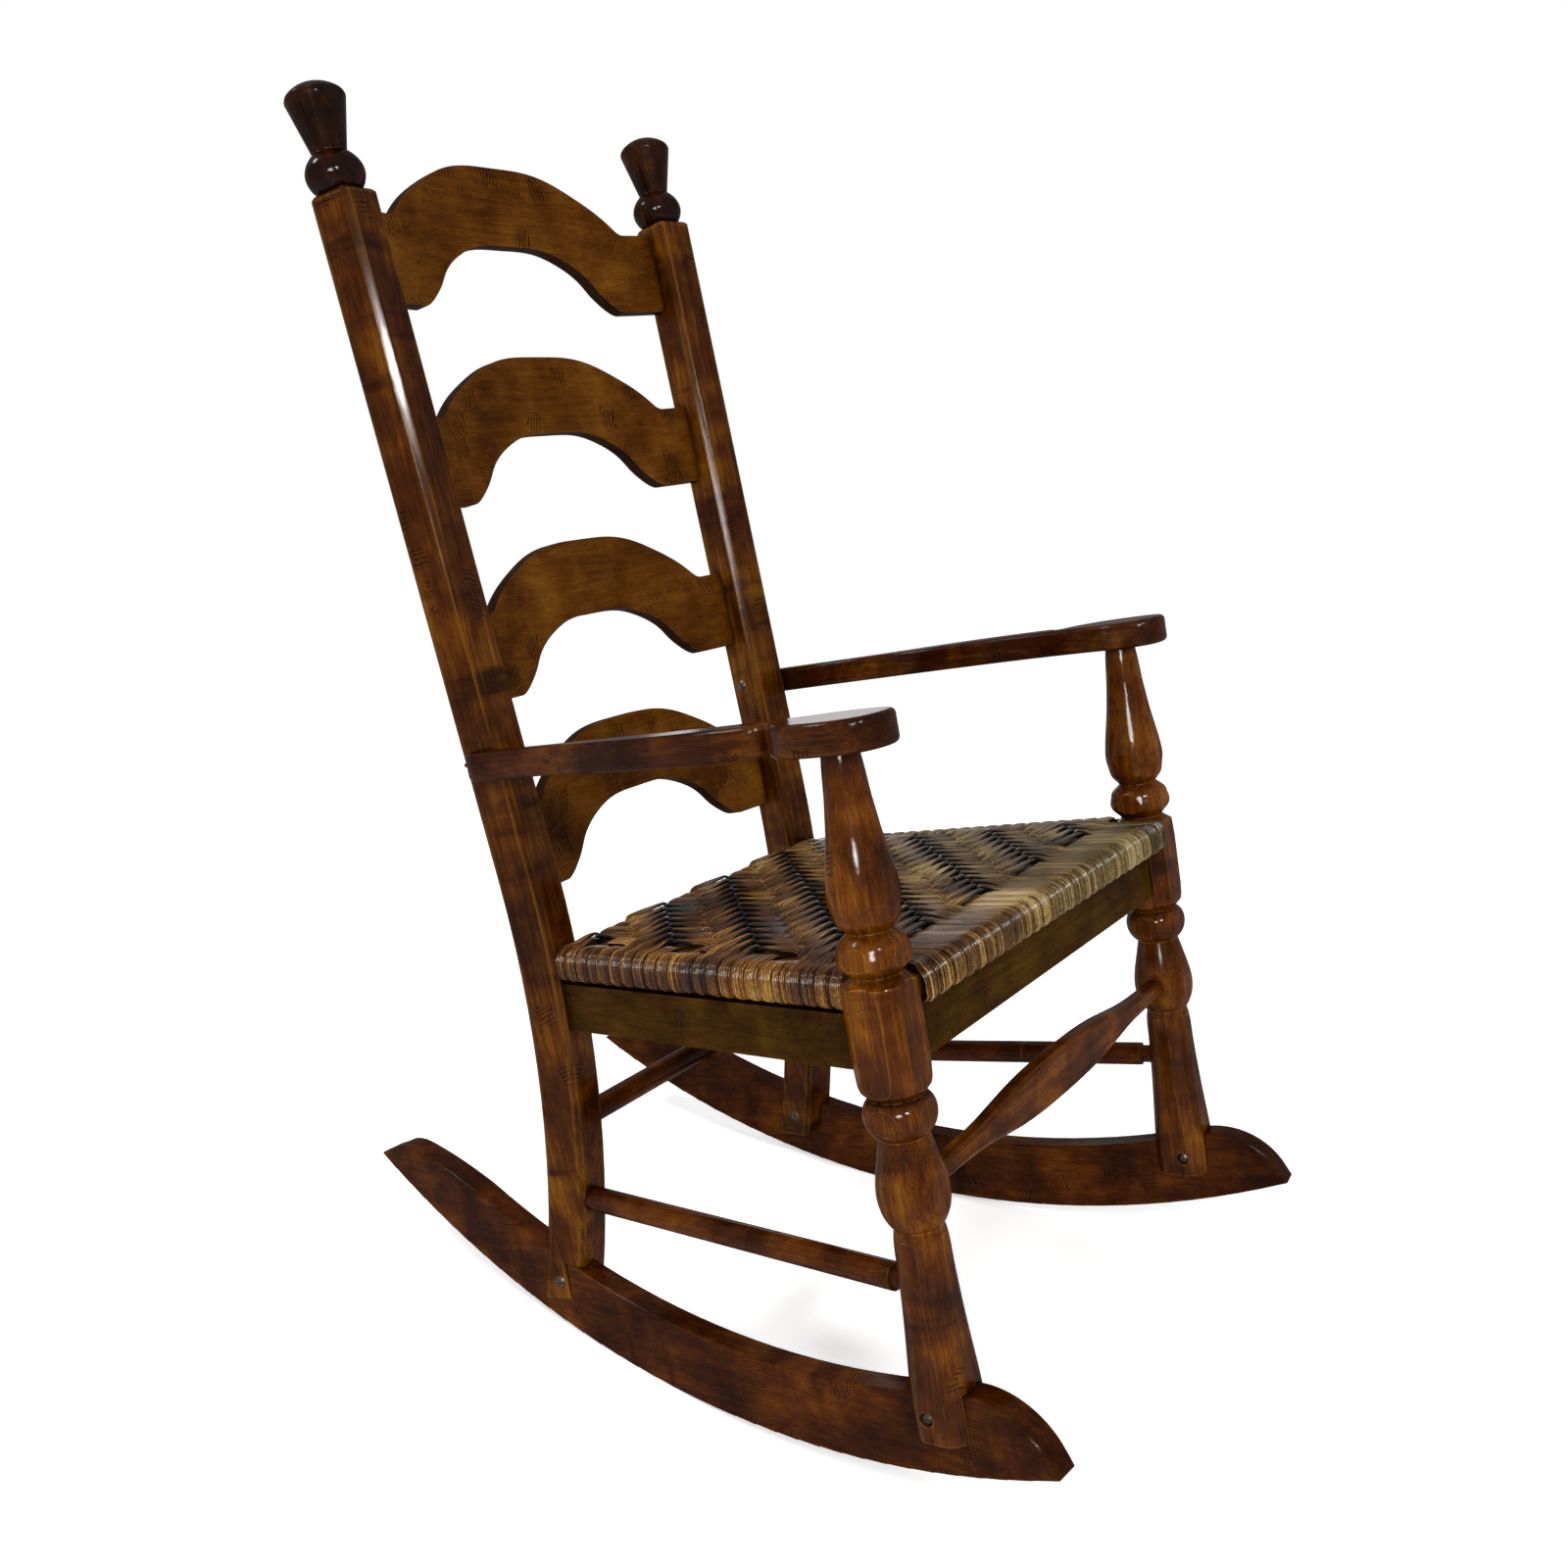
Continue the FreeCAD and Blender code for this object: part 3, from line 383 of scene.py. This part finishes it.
def screwSteel():
    # steel blackened with age: near-black brown in the slot, dull grey where a driver has rubbed it
    material, tree = newMaterial("blackened steel screws")
    place = addNode(tree, "TexCoord", output=3)
    noise = addNode(tree, "TexNoise", None, {"Vector": place, "Scale": 1000 / screws["tarnish"],
                                             "Detail": 3.0})
    colour = addNode(tree, "ValToRGB", {"stops": ((0.3, "#1b1512"), (0.7, "#4a4037"))}, {"Fac": noise})
    rough = addNode(tree, "Math", multiplyAdd, {0: noise, 1: 0.3, 2: 0.25})
    shader = addNode(tree, "BsdfPrincipled", None, {"Base Color": colour, "Roughness": rough,
                                                    "Metallic": 1.0})
    addNode(tree, "OutputMaterial", None, {"Surface": shader}, None)
    return material


blackSteel = screwSteel()
finish["foot_screws"] = blackSteel
finish["arm_screws"] = blackSteel


def dress():
    # every slot of a piece gets the piece's material
    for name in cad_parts:
        target = bpy.data.objects.get(name)
        if target is None:
            continue
        for start, material in finish.items():
            if name.startswith(start):
                for slotIndex in range(len(target.material_slots)):
                    target.material_slots[slotIndex].material = material
                if not target.material_slots:
                    target.data.materials.append(material)


dress()

# Woven seat

seat = {
    "frontHalf": 267.0,       # half-width on the front legs' axes, mm as all lengths here
    "slant": 7.9,             # degrees, the sides drawing in towards the back
    "front": -33.0,
    "back": 381.0,
    "top": 430.0,
    "bottom": 399.5,
    "edge": 13.0,             # rounding above, round the rail
    "lowEdge": 7.0,           # rounding below
    "railWidth": 20.0,
    "warpCount": 27,          # bundles running front to back
    "warpPitch": 16.84,
    "warpSideGap": 6.0,       # from a short warp's end to the side rail
    "warpEndGap": 4.0,        # from its end to the last weft that it crosses
    "shortestWarp": 60.0,
    "weftCount": 23,          # bundles running across
    "weftFirst": 35.5,
    "weftPitch": 15.4,
    "weftSideGap": 2.0,       # from the side rail to the first warp that a weft crosses
    "float": 3,               # crossings over, then as many under
    "rise": 2.9,              # half the step from under to over
    "step": 0.52,             # pitches that this step takes
    "warpEnds": (0.0, -1.0),  # height before the first and after the last crossing, in rises
    "weftEnds": (0.2, 0.2),
    "bend": 3.0,              # of a weft's tip towards the front
    "pinch": 0.6,             # how far a bundle narrows where it dives
    "pinchPower": 1.2,
    "leafShade": 1.0,         # how far the painted shadow closes in on its middle there
    "leafDeep": 1.3,          # the same just past the tip
    "leafSoft": 0.22,         # width of that shadow's edge, in half-widths
    "leafLength": 2.3,        # pitches over which it narrows
    "tuck": 0.9,              # pitches after which it is wide again
    "crown": 0.9,             # fall from the middle of a bundle to its sides
    "wrapCrown": 2.4,         # the same round the rails
    "wrapWidth": 0.92,
    "fan": 11.0,              # outward spread of the front wraps, round the legs' cut corners
    "fanFrom": 170.0,         # half-width from which they spread
    "fanOver": 50.0,          # mm of half-width over which they reach it
    "fanFront": -12.0,        # place from which they spread towards the front
    "fanDepth": 18.0,
    "strands": 9,             # in a bundle
    "strandHeight": 1.6,
    "strandHalf": 0.49,       # half-width, as a share of the distance between strands
    "strandCorners": 6,
    "bundleSpread": 1.02,     # width of a bundle in pitches
    "drift": 0.28,            # how far a strand wanders sideways
    "wander": 37.0,           # length over which it does
    "lift": 0.18,
    "bundleShade": (0.5, 0.07),     # mean and spread
    "strandShade": 0.18,
    "darkest": 0.3,
    "topStep": 4.6,           # between the points of a strand
    "underStep": 9.0,
}


def sideHalf(y):
    # half-width of the seat at a distance back
    return seat["frontHalf"] - y * math.tan(math.radians(seat["slant"]))


def smoothStep(t):
    t = np.clip(t, 0.0, 1.0)
    return t * t * (3 - 2 * t)


def overAt(warp, weft):
    # the warp lies over the weft for half of every repeat, one crossing further on in each row
    return (warp - weft) % (2 * seat["float"]) < seat["float"]


def twill(along, places, overs, ends):
    # height and width share of a bundle at each point, and how near it is to a leaf's tip: overs
    # says where it lies on top, ends how high it is beyond the crossings
    height = np.zeros_like(along)
    width = np.ones_like(along)
    tip = np.zeros_like(along)
    if not len(places):
        return height, width, tip
    pitch = abs(places[1] - places[0]) if len(places) > 1 else seat["warpPitch"]
    signs = np.where(overs, 1.0, -1.0)
    first, last = ends
    before = smoothStep((places[0] - along) / pitch)
    after = smoothStep((along - places[-1]) / pitch)
    height += (signs[0] + (first - signs[0]) * before) * (along < places[0])
    height += (signs[-1] + (last - signs[-1]) * after) * (along > places[-1])
    for index in range(len(places) - 1):
        inside = (along >= places[index]) & (along <= places[index + 1])
        share = (along - places[index]) / pitch
        step = smoothStep((share - 0.5) / seat["step"] + 0.5)
        change = signs[index + 1] - signs[index]
        height += inside * (signs[index] + change * step)
        if change < 0:
            # a leaf's point: it narrows along the float and stays narrow until it is well under
            ahead = (along - (places[index] + places[index + 1]) / 2) / pitch
            point = np.where(ahead < 0, 1 + ahead / seat["leafLength"], 1 - ahead / seat["tuck"])
            point = np.clip(point, 0, 1)
            width = np.minimum(width, 1 - seat["pinch"] * point ** seat["pinchPower"])
            tip = np.maximum(tip, np.where((ahead > 0) & (point > 0), seat["leafDeep"], point))
    return height, width, tip


def wrapped(shape, face):
    # round the rails the bundles lie level and side by side, and below they close up
    height, width, tip = shape
    height = np.where(face == 0, 0, height)
    width = np.where(face == 0, seat["wrapWidth"], np.where(face < 0, 1.0, width))
    tip = np.where(face > 0, tip, 0)
    return height, width, tip


def loopPath(start, end):
    # a closed run: along the top, round one rail, back below and round the other, with the way out
    # of the seat at each point, and 1 for the top, -1 below and 0 round the rails
    high, low = seat["edge"], seat["lowEdge"]
    topCount = max(3, int(round((end - start) / seat["topStep"])))
    underCount = max(3, int(round((end - start) / seat["underStep"])))
    top = np.linspace(start + high, end - high, topCount)
    below = np.linspace(end - low, start + low, underCount)
    quarter = np.radians(np.linspace(0, 90, 6))
    far = []
    for a in quarter[1:]:
        far.append((end - high + high * math.sin(a), seat["top"] - high + high * math.cos(a),
                    math.sin(a), math.cos(a)))
    for a in quarter[:-1]:
        far.append((end - low + low * math.cos(a), seat["bottom"] + low - low * math.sin(a),
                    math.cos(a), -math.sin(a)))
    near = [(start + end - x, z, -outX, outZ) for x, z, outX, outZ in reversed(far)]
    parts = ([(x, seat["top"], 0.0, 1.0, 1) for x in top] + [(*p, 0) for p in far]
             + [(x, seat["bottom"], 0.0, -1.0, -1) for x in below] + [(*p, 0) for p in near])
    table = np.array(parts)
    return table[:, 0], table[:, 1], table[:, 4], table[:, 2:4]


def addTube(store, centre, sideways, halfWidth, halfHeight, shade):
    # a closed strand; sideways is its flat direction
    ahead = np.roll(centre, -1, axis=0) - np.roll(centre, 1, axis=0)
    ahead /= np.linalg.norm(ahead, axis=1)[:, None]
    outward = np.cross(ahead, sideways)
    outward /= np.linalg.norm(outward, axis=1)[:, None]
    corners = seat["strandCorners"]
    base = sum(len(block) for block in store["points"])
    rings = []
    for corner in range(corners):
        angle = 2 * math.pi * (corner + 0.5) / corners
        rings.append(centre + sideways * (halfWidth * math.cos(angle))
                     + outward * (halfHeight * math.sin(angle)))
    store["points"].append(np.stack(rings, axis=1).reshape(-1, 3))
    store["tonesAndShadows"].append(np.repeat(shade, corners))
    ring = np.arange(len(centre)) * corners
    nextRing = np.roll(ring, -1)
    for corner in range(corners):
        other = (corner + 1) % corners
        quads = np.stack([ring + corner, ring + other, nextRing + other, nextRing + corner], axis=1)
        store["faces"].append(base + quads)


def addBundle(store, origin, across, run, shape, pitch, chance):
    # origin maps a place along the run to the upright frame; across is the bundle's flat direction
    along, high, face = run
    height, width, tip = shape
    strands = seat["strands"]
    halfWidth = pitch / strands * seat["strandHalf"]
    fall = np.where(face == 0, seat["wrapCrown"], seat["crown"])
    bundleShade = chance.gauss(*seat["bundleShade"])
    for index in range(strands):
        share = (index - (strands - 1) / 2) / strands
        drift = chance.uniform(-seat["drift"], seat["drift"])
        lift = chance.uniform(-seat["lift"], seat["lift"])
        phase = chance.uniform(0, 6.28)
        offset = (share * pitch * width * seat["bundleSpread"]
                  + drift * np.sin(along / seat["wander"] + phase))
        outward = height * seat["rise"] - fall * (2 * share) ** 2 + lift - seat["strandHeight"] / 2
        centre = origin(along, high, face, outward, offset)
        shade = min(1.0, max(seat["darkest"], bundleShade + chance.gauss(0, seat["strandShade"])))
        # painted shadow: the outer strands go dark towards a tip, which leaves a leaf-shaped light middle
        paintedLeafShadow = smoothStep((abs(2 * share) - 1.0 + seat["leafShade"] * tip) / seat["leafSoft"])
        addTube(store, centre, across, halfWidth, seat["strandHeight"] / 2, shade * (1 - paintedLeafShadow))


def weave():
    chance = random.Random(11)
    warps = [(i - (seat["warpCount"] - 1) / 2) * seat["warpPitch"] for i in range(seat["warpCount"])]
    wefts = [seat["weftFirst"] + j * seat["weftPitch"] for j in range(seat["weftCount"])]
    slope = math.tan(math.radians(seat["slant"]))
    halfPitch = seat["warpPitch"] / 2
    warpStore = {"points": [], "faces": [], "tonesAndShadows": []}
    weftStore = {"points": [], "faces": [], "tonesAndShadows": []}
    for i, x in enumerate(warps):
        room = seat["frontHalf"] - seat["railWidth"] - seat["warpSideGap"] - abs(x) - halfPitch
        end = min(seat["back"], room / slope)
        if end < seat["front"] + seat["shortestWarp"]:
            continue
        along, high, face, shift = loopPath(seat["front"], end)
        crossed = [(j, y) for j, y in enumerate(wefts) if y < end - seat["warpEndGap"]]
        overs = np.array([overAt(i, j) for j, y in crossed])
        shape = twill(along, np.array([y for j, y in crossed]), overs, seat["warpEnds"])

        def origin(along, high, face, outward, offset, x=x, shift=shift):
            place = x + offset
            spread = (smoothStep((np.abs(place) - seat["fanFrom"]) / seat["fanOver"])
                      * smoothStep((seat["fanFront"] - along) / seat["fanDepth"]))
            return np.stack([place + np.sign(place) * seat["fan"] * spread,
                             along + shift[:, 0] * outward, high + shift[:, 1] * outward], axis=1)
        addBundle(warpStore, origin, np.array([1.0, 0, 0]), (along, high, face),
                  wrapped(shape, face), seat["warpPitch"], chance)
    for j, y in enumerate(wefts):
        half = sideHalf(y)
        along, high, face, shift = loopPath(-half, half)
        reach = half - seat["railWidth"] - halfPitch - seat["weftSideGap"]
        crossed = [(i, x) for i, x in enumerate(warps) if abs(x) < reach]
        overs = np.array([not overAt(i, j) for i, x in crossed])
        shape = twill(along, np.array([x for i, x in crossed]), overs, seat["weftEnds"])
        shape = wrapped(shape, face)
        bend = -seat["bend"] * np.minimum(shape[2], 1.0) ** 2

        def origin(along, high, face, outward, offset, y=y, shift=shift, bend=bend):
            return np.stack([along + shift[:, 0] * outward, y + offset + bend,
                             high + shift[:, 1] * outward], axis=1)
        addBundle(weftStore, origin, np.array([0, 1.0, 0]), (along, high, face), shape,
                  seat["weftPitch"], chance)
    return warpStore, weftStore


def leanedMesh(name, store):
    points = np.concatenate(store["points"])
    faces = np.concatenate(store["faces"])
    placed = np.stack(leaned(points[:, 0], points[:, 1], points[:, 2]), axis=1) / 1000
    mesh = bpy.data.meshes.new(name)
    mesh.vertices.add(len(placed))
    mesh.vertices.foreach_set("co", placed.ravel())
    mesh.loops.add(faces.size)
    mesh.loops.foreach_set("vertex_index", faces.ravel().astype(np.int32))
    mesh.polygons.add(len(faces))
    mesh.polygons.foreach_set("loop_start", np.arange(0, faces.size, 4, dtype=np.int32))
    mesh.update(calc_edges=True)
    mesh.validate()
    mesh.polygons.foreach_set("use_smooth", np.ones(len(mesh.polygons), dtype=bool))
    bm = bmesh.new()
    bm.from_mesh(mesh)
    bmesh.ops.recalc_face_normals(bm, faces=bm.faces)
    bm.to_mesh(mesh)
    bm.free()
    # the shade attribute is each strand's own tone times its painted leaf shadow
    tonesAndShadows = mesh.attributes.new("shade", "FLOAT", "POINT")
    tonesAndShadows.data.foreach_set("value", np.concatenate(store["tonesAndShadows"]).astype(np.float32))
    piece = bpy.data.objects.new(name, mesh)
    bpy.context.collection.objects.link(piece)
    return piece


strand = {
    "shadeWidth": 3.0,        # mm across one shade of strand, as all lengths here
    "shadeLength": 120.0,
    "patch": 90.0,            # across a patch of darker varnish
    "fibreWidth": 0.7,
    "fibreLength": 25.0,
    "ownShare": 0.6,          # how far a strand's own shade and the three patterns move the tone
    "shadeShare": 0.5,
    "patchShare": 1.2,
    "fibreShare": 0.6,
    "toneStart": -0.98,
    "oliveRight": 2.2,        # olive that each metre to the right adds
    "oliveBack": -1.3,        # the same towards the back
    "oliveMiddle": 0.5,
    "gapShadeDepth": 8.0,        # over which the painted shade in the gaps deepens
    "hollow": 5.0,            # out of a gap that the painted shade reaches
    "coat": 0.27,
    "coatRoughness": 0.16,
    "bump": 0.4,
    "bumpDepth": 0.4,
    "honeyTones": ((0.12, "#120701"), (0.34, "#3a1b03"), (0.5, "#643a0b"), (0.66, "#94651f"),
                   (0.88, "#cda55f")),
    "oliveTones": ((0.12, "#110a03"), (0.34, "#35250b"), (0.5, "#5a451f"), (0.66, "#806a3a"),
                   (0.88, "#ad9a6e")),
}


def strandMaterial(name, direction, seed):
    # twisted fibre strand under varnish: honey brown at the left and back, olive grey at the right,
    # each strand its own shade, with fine dark lines along it and painted shade deep in the gaps
    material, tree = newMaterial(name)
    place = addNode(tree, "TexCoord", output=3)
    local = addNode(tree, "Mapping", intoTexture,
                    {"Vector": place, "Rotation": direction, "Location": (seed, seed, seed)})
    shade = grainPattern(tree, local, strand["shadeWidth"], strand["shadeLength"],
                         {"Detail": 3.0, "Roughness": 0.7})
    patch = addNode(tree, "TexNoise", None, {"Vector": local, "Scale": 1000 / strand["patch"],
                                             "Detail": 2.0})
    fibre = grainPattern(tree, local, strand["fibreWidth"], strand["fibreLength"], {"Detail": 2.0})
    own = addNode(tree, "Attribute", {"attribute_name": "shade"}, output=2)
    tone = strand["toneStart"]
    for pattern, share in ((own, "ownShare"), (shade, "shadeShare"), (patch, "patchShare"),
                           (fibre, "fibreShare")):
        tone = addNode(tree, "Math", multiplyAdd, {0: pattern, 1: strand[share], 2: tone})
    honey = addNode(tree, "ValToRGB", {"stops": strand["honeyTones"]}, {"Fac": tone})
    olive = addNode(tree, "ValToRGB", {"stops": strand["oliveTones"]}, {"Fac": tone})
    parts = addNode(tree, "SeparateXYZ", None, {0: place}, None)
    mixing = strand["oliveMiddle"]
    for part, share in ((0, "oliveRight"), (1, "oliveBack")):
        mixing = addNode(tree, "Math", multiplyAdd, {0: parts.outputs[part], 1: strand[share],
                                                     2: mixing})
    mixing = addNode(tree, "ValToRGB", {"stops": ((0.3, 0.0), (0.95, 1.0))}, {"Fac": mixing})
    colour = addNode(tree, "Mix", mixColours, {0: mixing, 6: honey, 7: olive}, 2)

    # depth below the top of the weave, along the leaned seat's normal, for painted shade below the top
    tilt = math.radians(chair["restTilt"])
    normal = (0.0, math.sin(tilt), math.cos(tilt))
    level = upright(0, 0, seat["top"]).dot(Vector(normal))
    depth = addNode(tree, "VectorMath", dotProduct, {0: place, 1: normal}, 1)
    below = addNode(tree, "Math", {"operation": "SUBTRACT"}, {0: depth, 1: level})
    below = addNode(tree, "Math", multiplyAdd, {0: below, 1: 1000 / strand["gapShadeDepth"], 2: 0.5})
    gapShade = addNode(tree, "ValToRGB", {"stops": ((0.1, 0.9), (0.44, 0.0))}, {"Fac": below})
    turnedTo = addNode(tree, "NewGeometry", output=1)
    facing = addNode(tree, "VectorMath", dotProduct, {0: turnedTo, 1: normal}, 1)
    topFace = addNode(tree, "ValToRGB", {"stops": ((0.80, 0.0), (0.93, 1.0))}, {"Fac": facing})
    gapShade = addNode(tree, "Math", multiply, {0: gapShade, 1: topFace})
    # painted shade: the gaps go dark on every side, and so does a strand where its shade,
    # with the painted leaf shadow in it, is low
    hollow = addNode(tree, "AmbientOcclusion", {"samples": 4}, {"Distance": strand["hollow"] / 1000}, 1)
    paintedHollowShade = addNode(tree, "ValToRGB", {"stops": ((0.25, 0.9), (0.72, 0.0))}, {"Fac": hollow})
    shadow = addNode(tree, "ValToRGB", {"stops": ((0.02, 0.95), (0.26, 0.0))}, {"Fac": own})
    for mask in (paintedHollowShade, shadow):
        gapShade = addNode(tree, "Math", maximum, {0: gapShade, 1: mask})
    colour = addNode(tree, "Mix", mixColours, {0: gapShade, 6: colour, 7: linear("#0c0602")}, 2)

    # the varnish shines on the rounded tops only
    shine = addNode(tree, "Math", {"operation": "SUBTRACT"}, {0: 1.0, 1: gapShade})
    coat = addNode(tree, "Math", multiply, {0: shine, 1: strand["coat"]})
    rough = addNode(tree, "Math", multiplyAdd, {0: fibre, 1: 0.25, 2: 0.24})
    bump = addNode(tree, "Bump", None, {"Height": fibre, "Strength": strand["bump"],
                                        "Distance": strand["bumpDepth"] / 1000})
    shader = addNode(tree, "BsdfPrincipled", None, {
        "Base Color": colour, "Roughness": rough, "Normal": bump, "IOR": 1.5,
        "Specular IOR Level": 0.04, "Coat Weight": coat, "Coat Roughness": strand["coatRoughness"]})
    addNode(tree, "OutputMaterial", None, {"Surface": shader}, None)
    return material


print("woven seat")
warpStore, weftStore = weave()
seatWarp = leanedMesh("seat_warp", warpStore)
seatWeft = leanedMesh("seat_weft", weftStore)
seatWarp.data.materials.append(strandMaterial("varnished fibre strands along", frontToBack, 0.4))
seatWeft.data.materials.append(strandMaterial("varnished fibre strands across", acrossChair, 0.9))
for piece in (seatWarp, seatWeft):
    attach(piece, "root")
    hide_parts("woven_seat")

# Floor, backdrop and lights

print("stage")
white = (1.0, 1.0, 1.0, 1.0)
stage = {
    "size": 60.0,             # metres
    "floorColour": "#f6f5f2",
    "glow": 0.5,              # lifts the paper to white around the shadow
}


def seenRays(tree):
    # 1 for the rays of the camera, of reflections and of what glass lets through
    path = addNode(tree, "LightPath", output=None)
    seen = path.outputs["Is Camera Ray"]
    for kind in ("Is Glossy Ray", "Is Transmission Ray"):
        seen = addNode(tree, "Math", maximum, {0: seen, 1: path.outputs[kind]})
    return seen


def stageMaterial():
    # matt white paper, which the camera and reflections see evenly white but for the soft shadow
    material, tree = newMaterial("matt white paper")
    plain = addNode(tree, "BsdfDiffuse", None, {"Color": linear(stage["floorColour"])})
    bright = addNode(tree, "BsdfDiffuse", None, {"Color": white})
    glow = addNode(tree, "Emission", None, {"Color": white, "Strength": stage["glow"]})
    lifted = addNode(tree, "AddShader", None, {0: bright, 1: glow})
    shader = addNode(tree, "MixShader", None, {0: seenRays(tree), 1: plain, 2: lifted})
    addNode(tree, "OutputMaterial", None, {"Surface": shader}, None)
    return material


def makeFloor():
    mesh = bpy.data.meshes.new("floor")
    reach = stage["size"] / 2
    corners = [(-reach, -reach, 0), (reach, -reach, 0), (reach, reach, 0), (-reach, reach, 0)]
    mesh.from_pydata(corners, [], [(0, 1, 2, 3)])
    floor = bpy.data.objects.new("floor", mesh)
    bpy.context.collection.objects.link(floor)
    floor.data.materials.append(stageMaterial())


makeFloor()


def makeWorld():
    world = bpy.data.worlds.new("studio")
    world.use_nodes = True
    tree = world.node_tree
    tree.nodes.clear()
    light = addNode(tree, "Background", None, {"Color": white, "Strength": lights["worldStrength"]})
    backdrop = addNode(tree, "Background", None, {"Color": white, "Strength": 1.0})
    shader = addNode(tree, "MixShader", None, {0: seenRays(tree), 1: light, 2: backdrop})
    addNode(tree, "OutputWorld", None, {"Surface": shader}, None)
    bpy.context.scene.world = world


makeWorld()


def lamp(name, place, power, size, onlyGlints=False):
    # a disk of light turned to the chair, which may light nothing but the gloss
    if not power:
        return
    data = bpy.data.lights.new(name, "AREA")
    data.energy = power
    data.shape = "DISK"
    data.size = size
    lampObject = bpy.data.objects.new(name, data)
    bpy.context.collection.objects.link(lampObject)
    lampObject.location = place
    lampObject.visible_diffuse = not onlyGlints
    lampObject.visible_camera = False
    direction = Vector(lights["aim"]) - Vector(place)
    lampObject.rotation_euler = direction.to_track_quat("-Z", "Y").to_euler()


print("lamps")
for name in ("front", "window", "back", "far"):
    place, soft, glints, size = lights[name]
    lamp(name, place, soft, lights["softSize"])
    lamp(name + "_glints", place, glints, size, True)
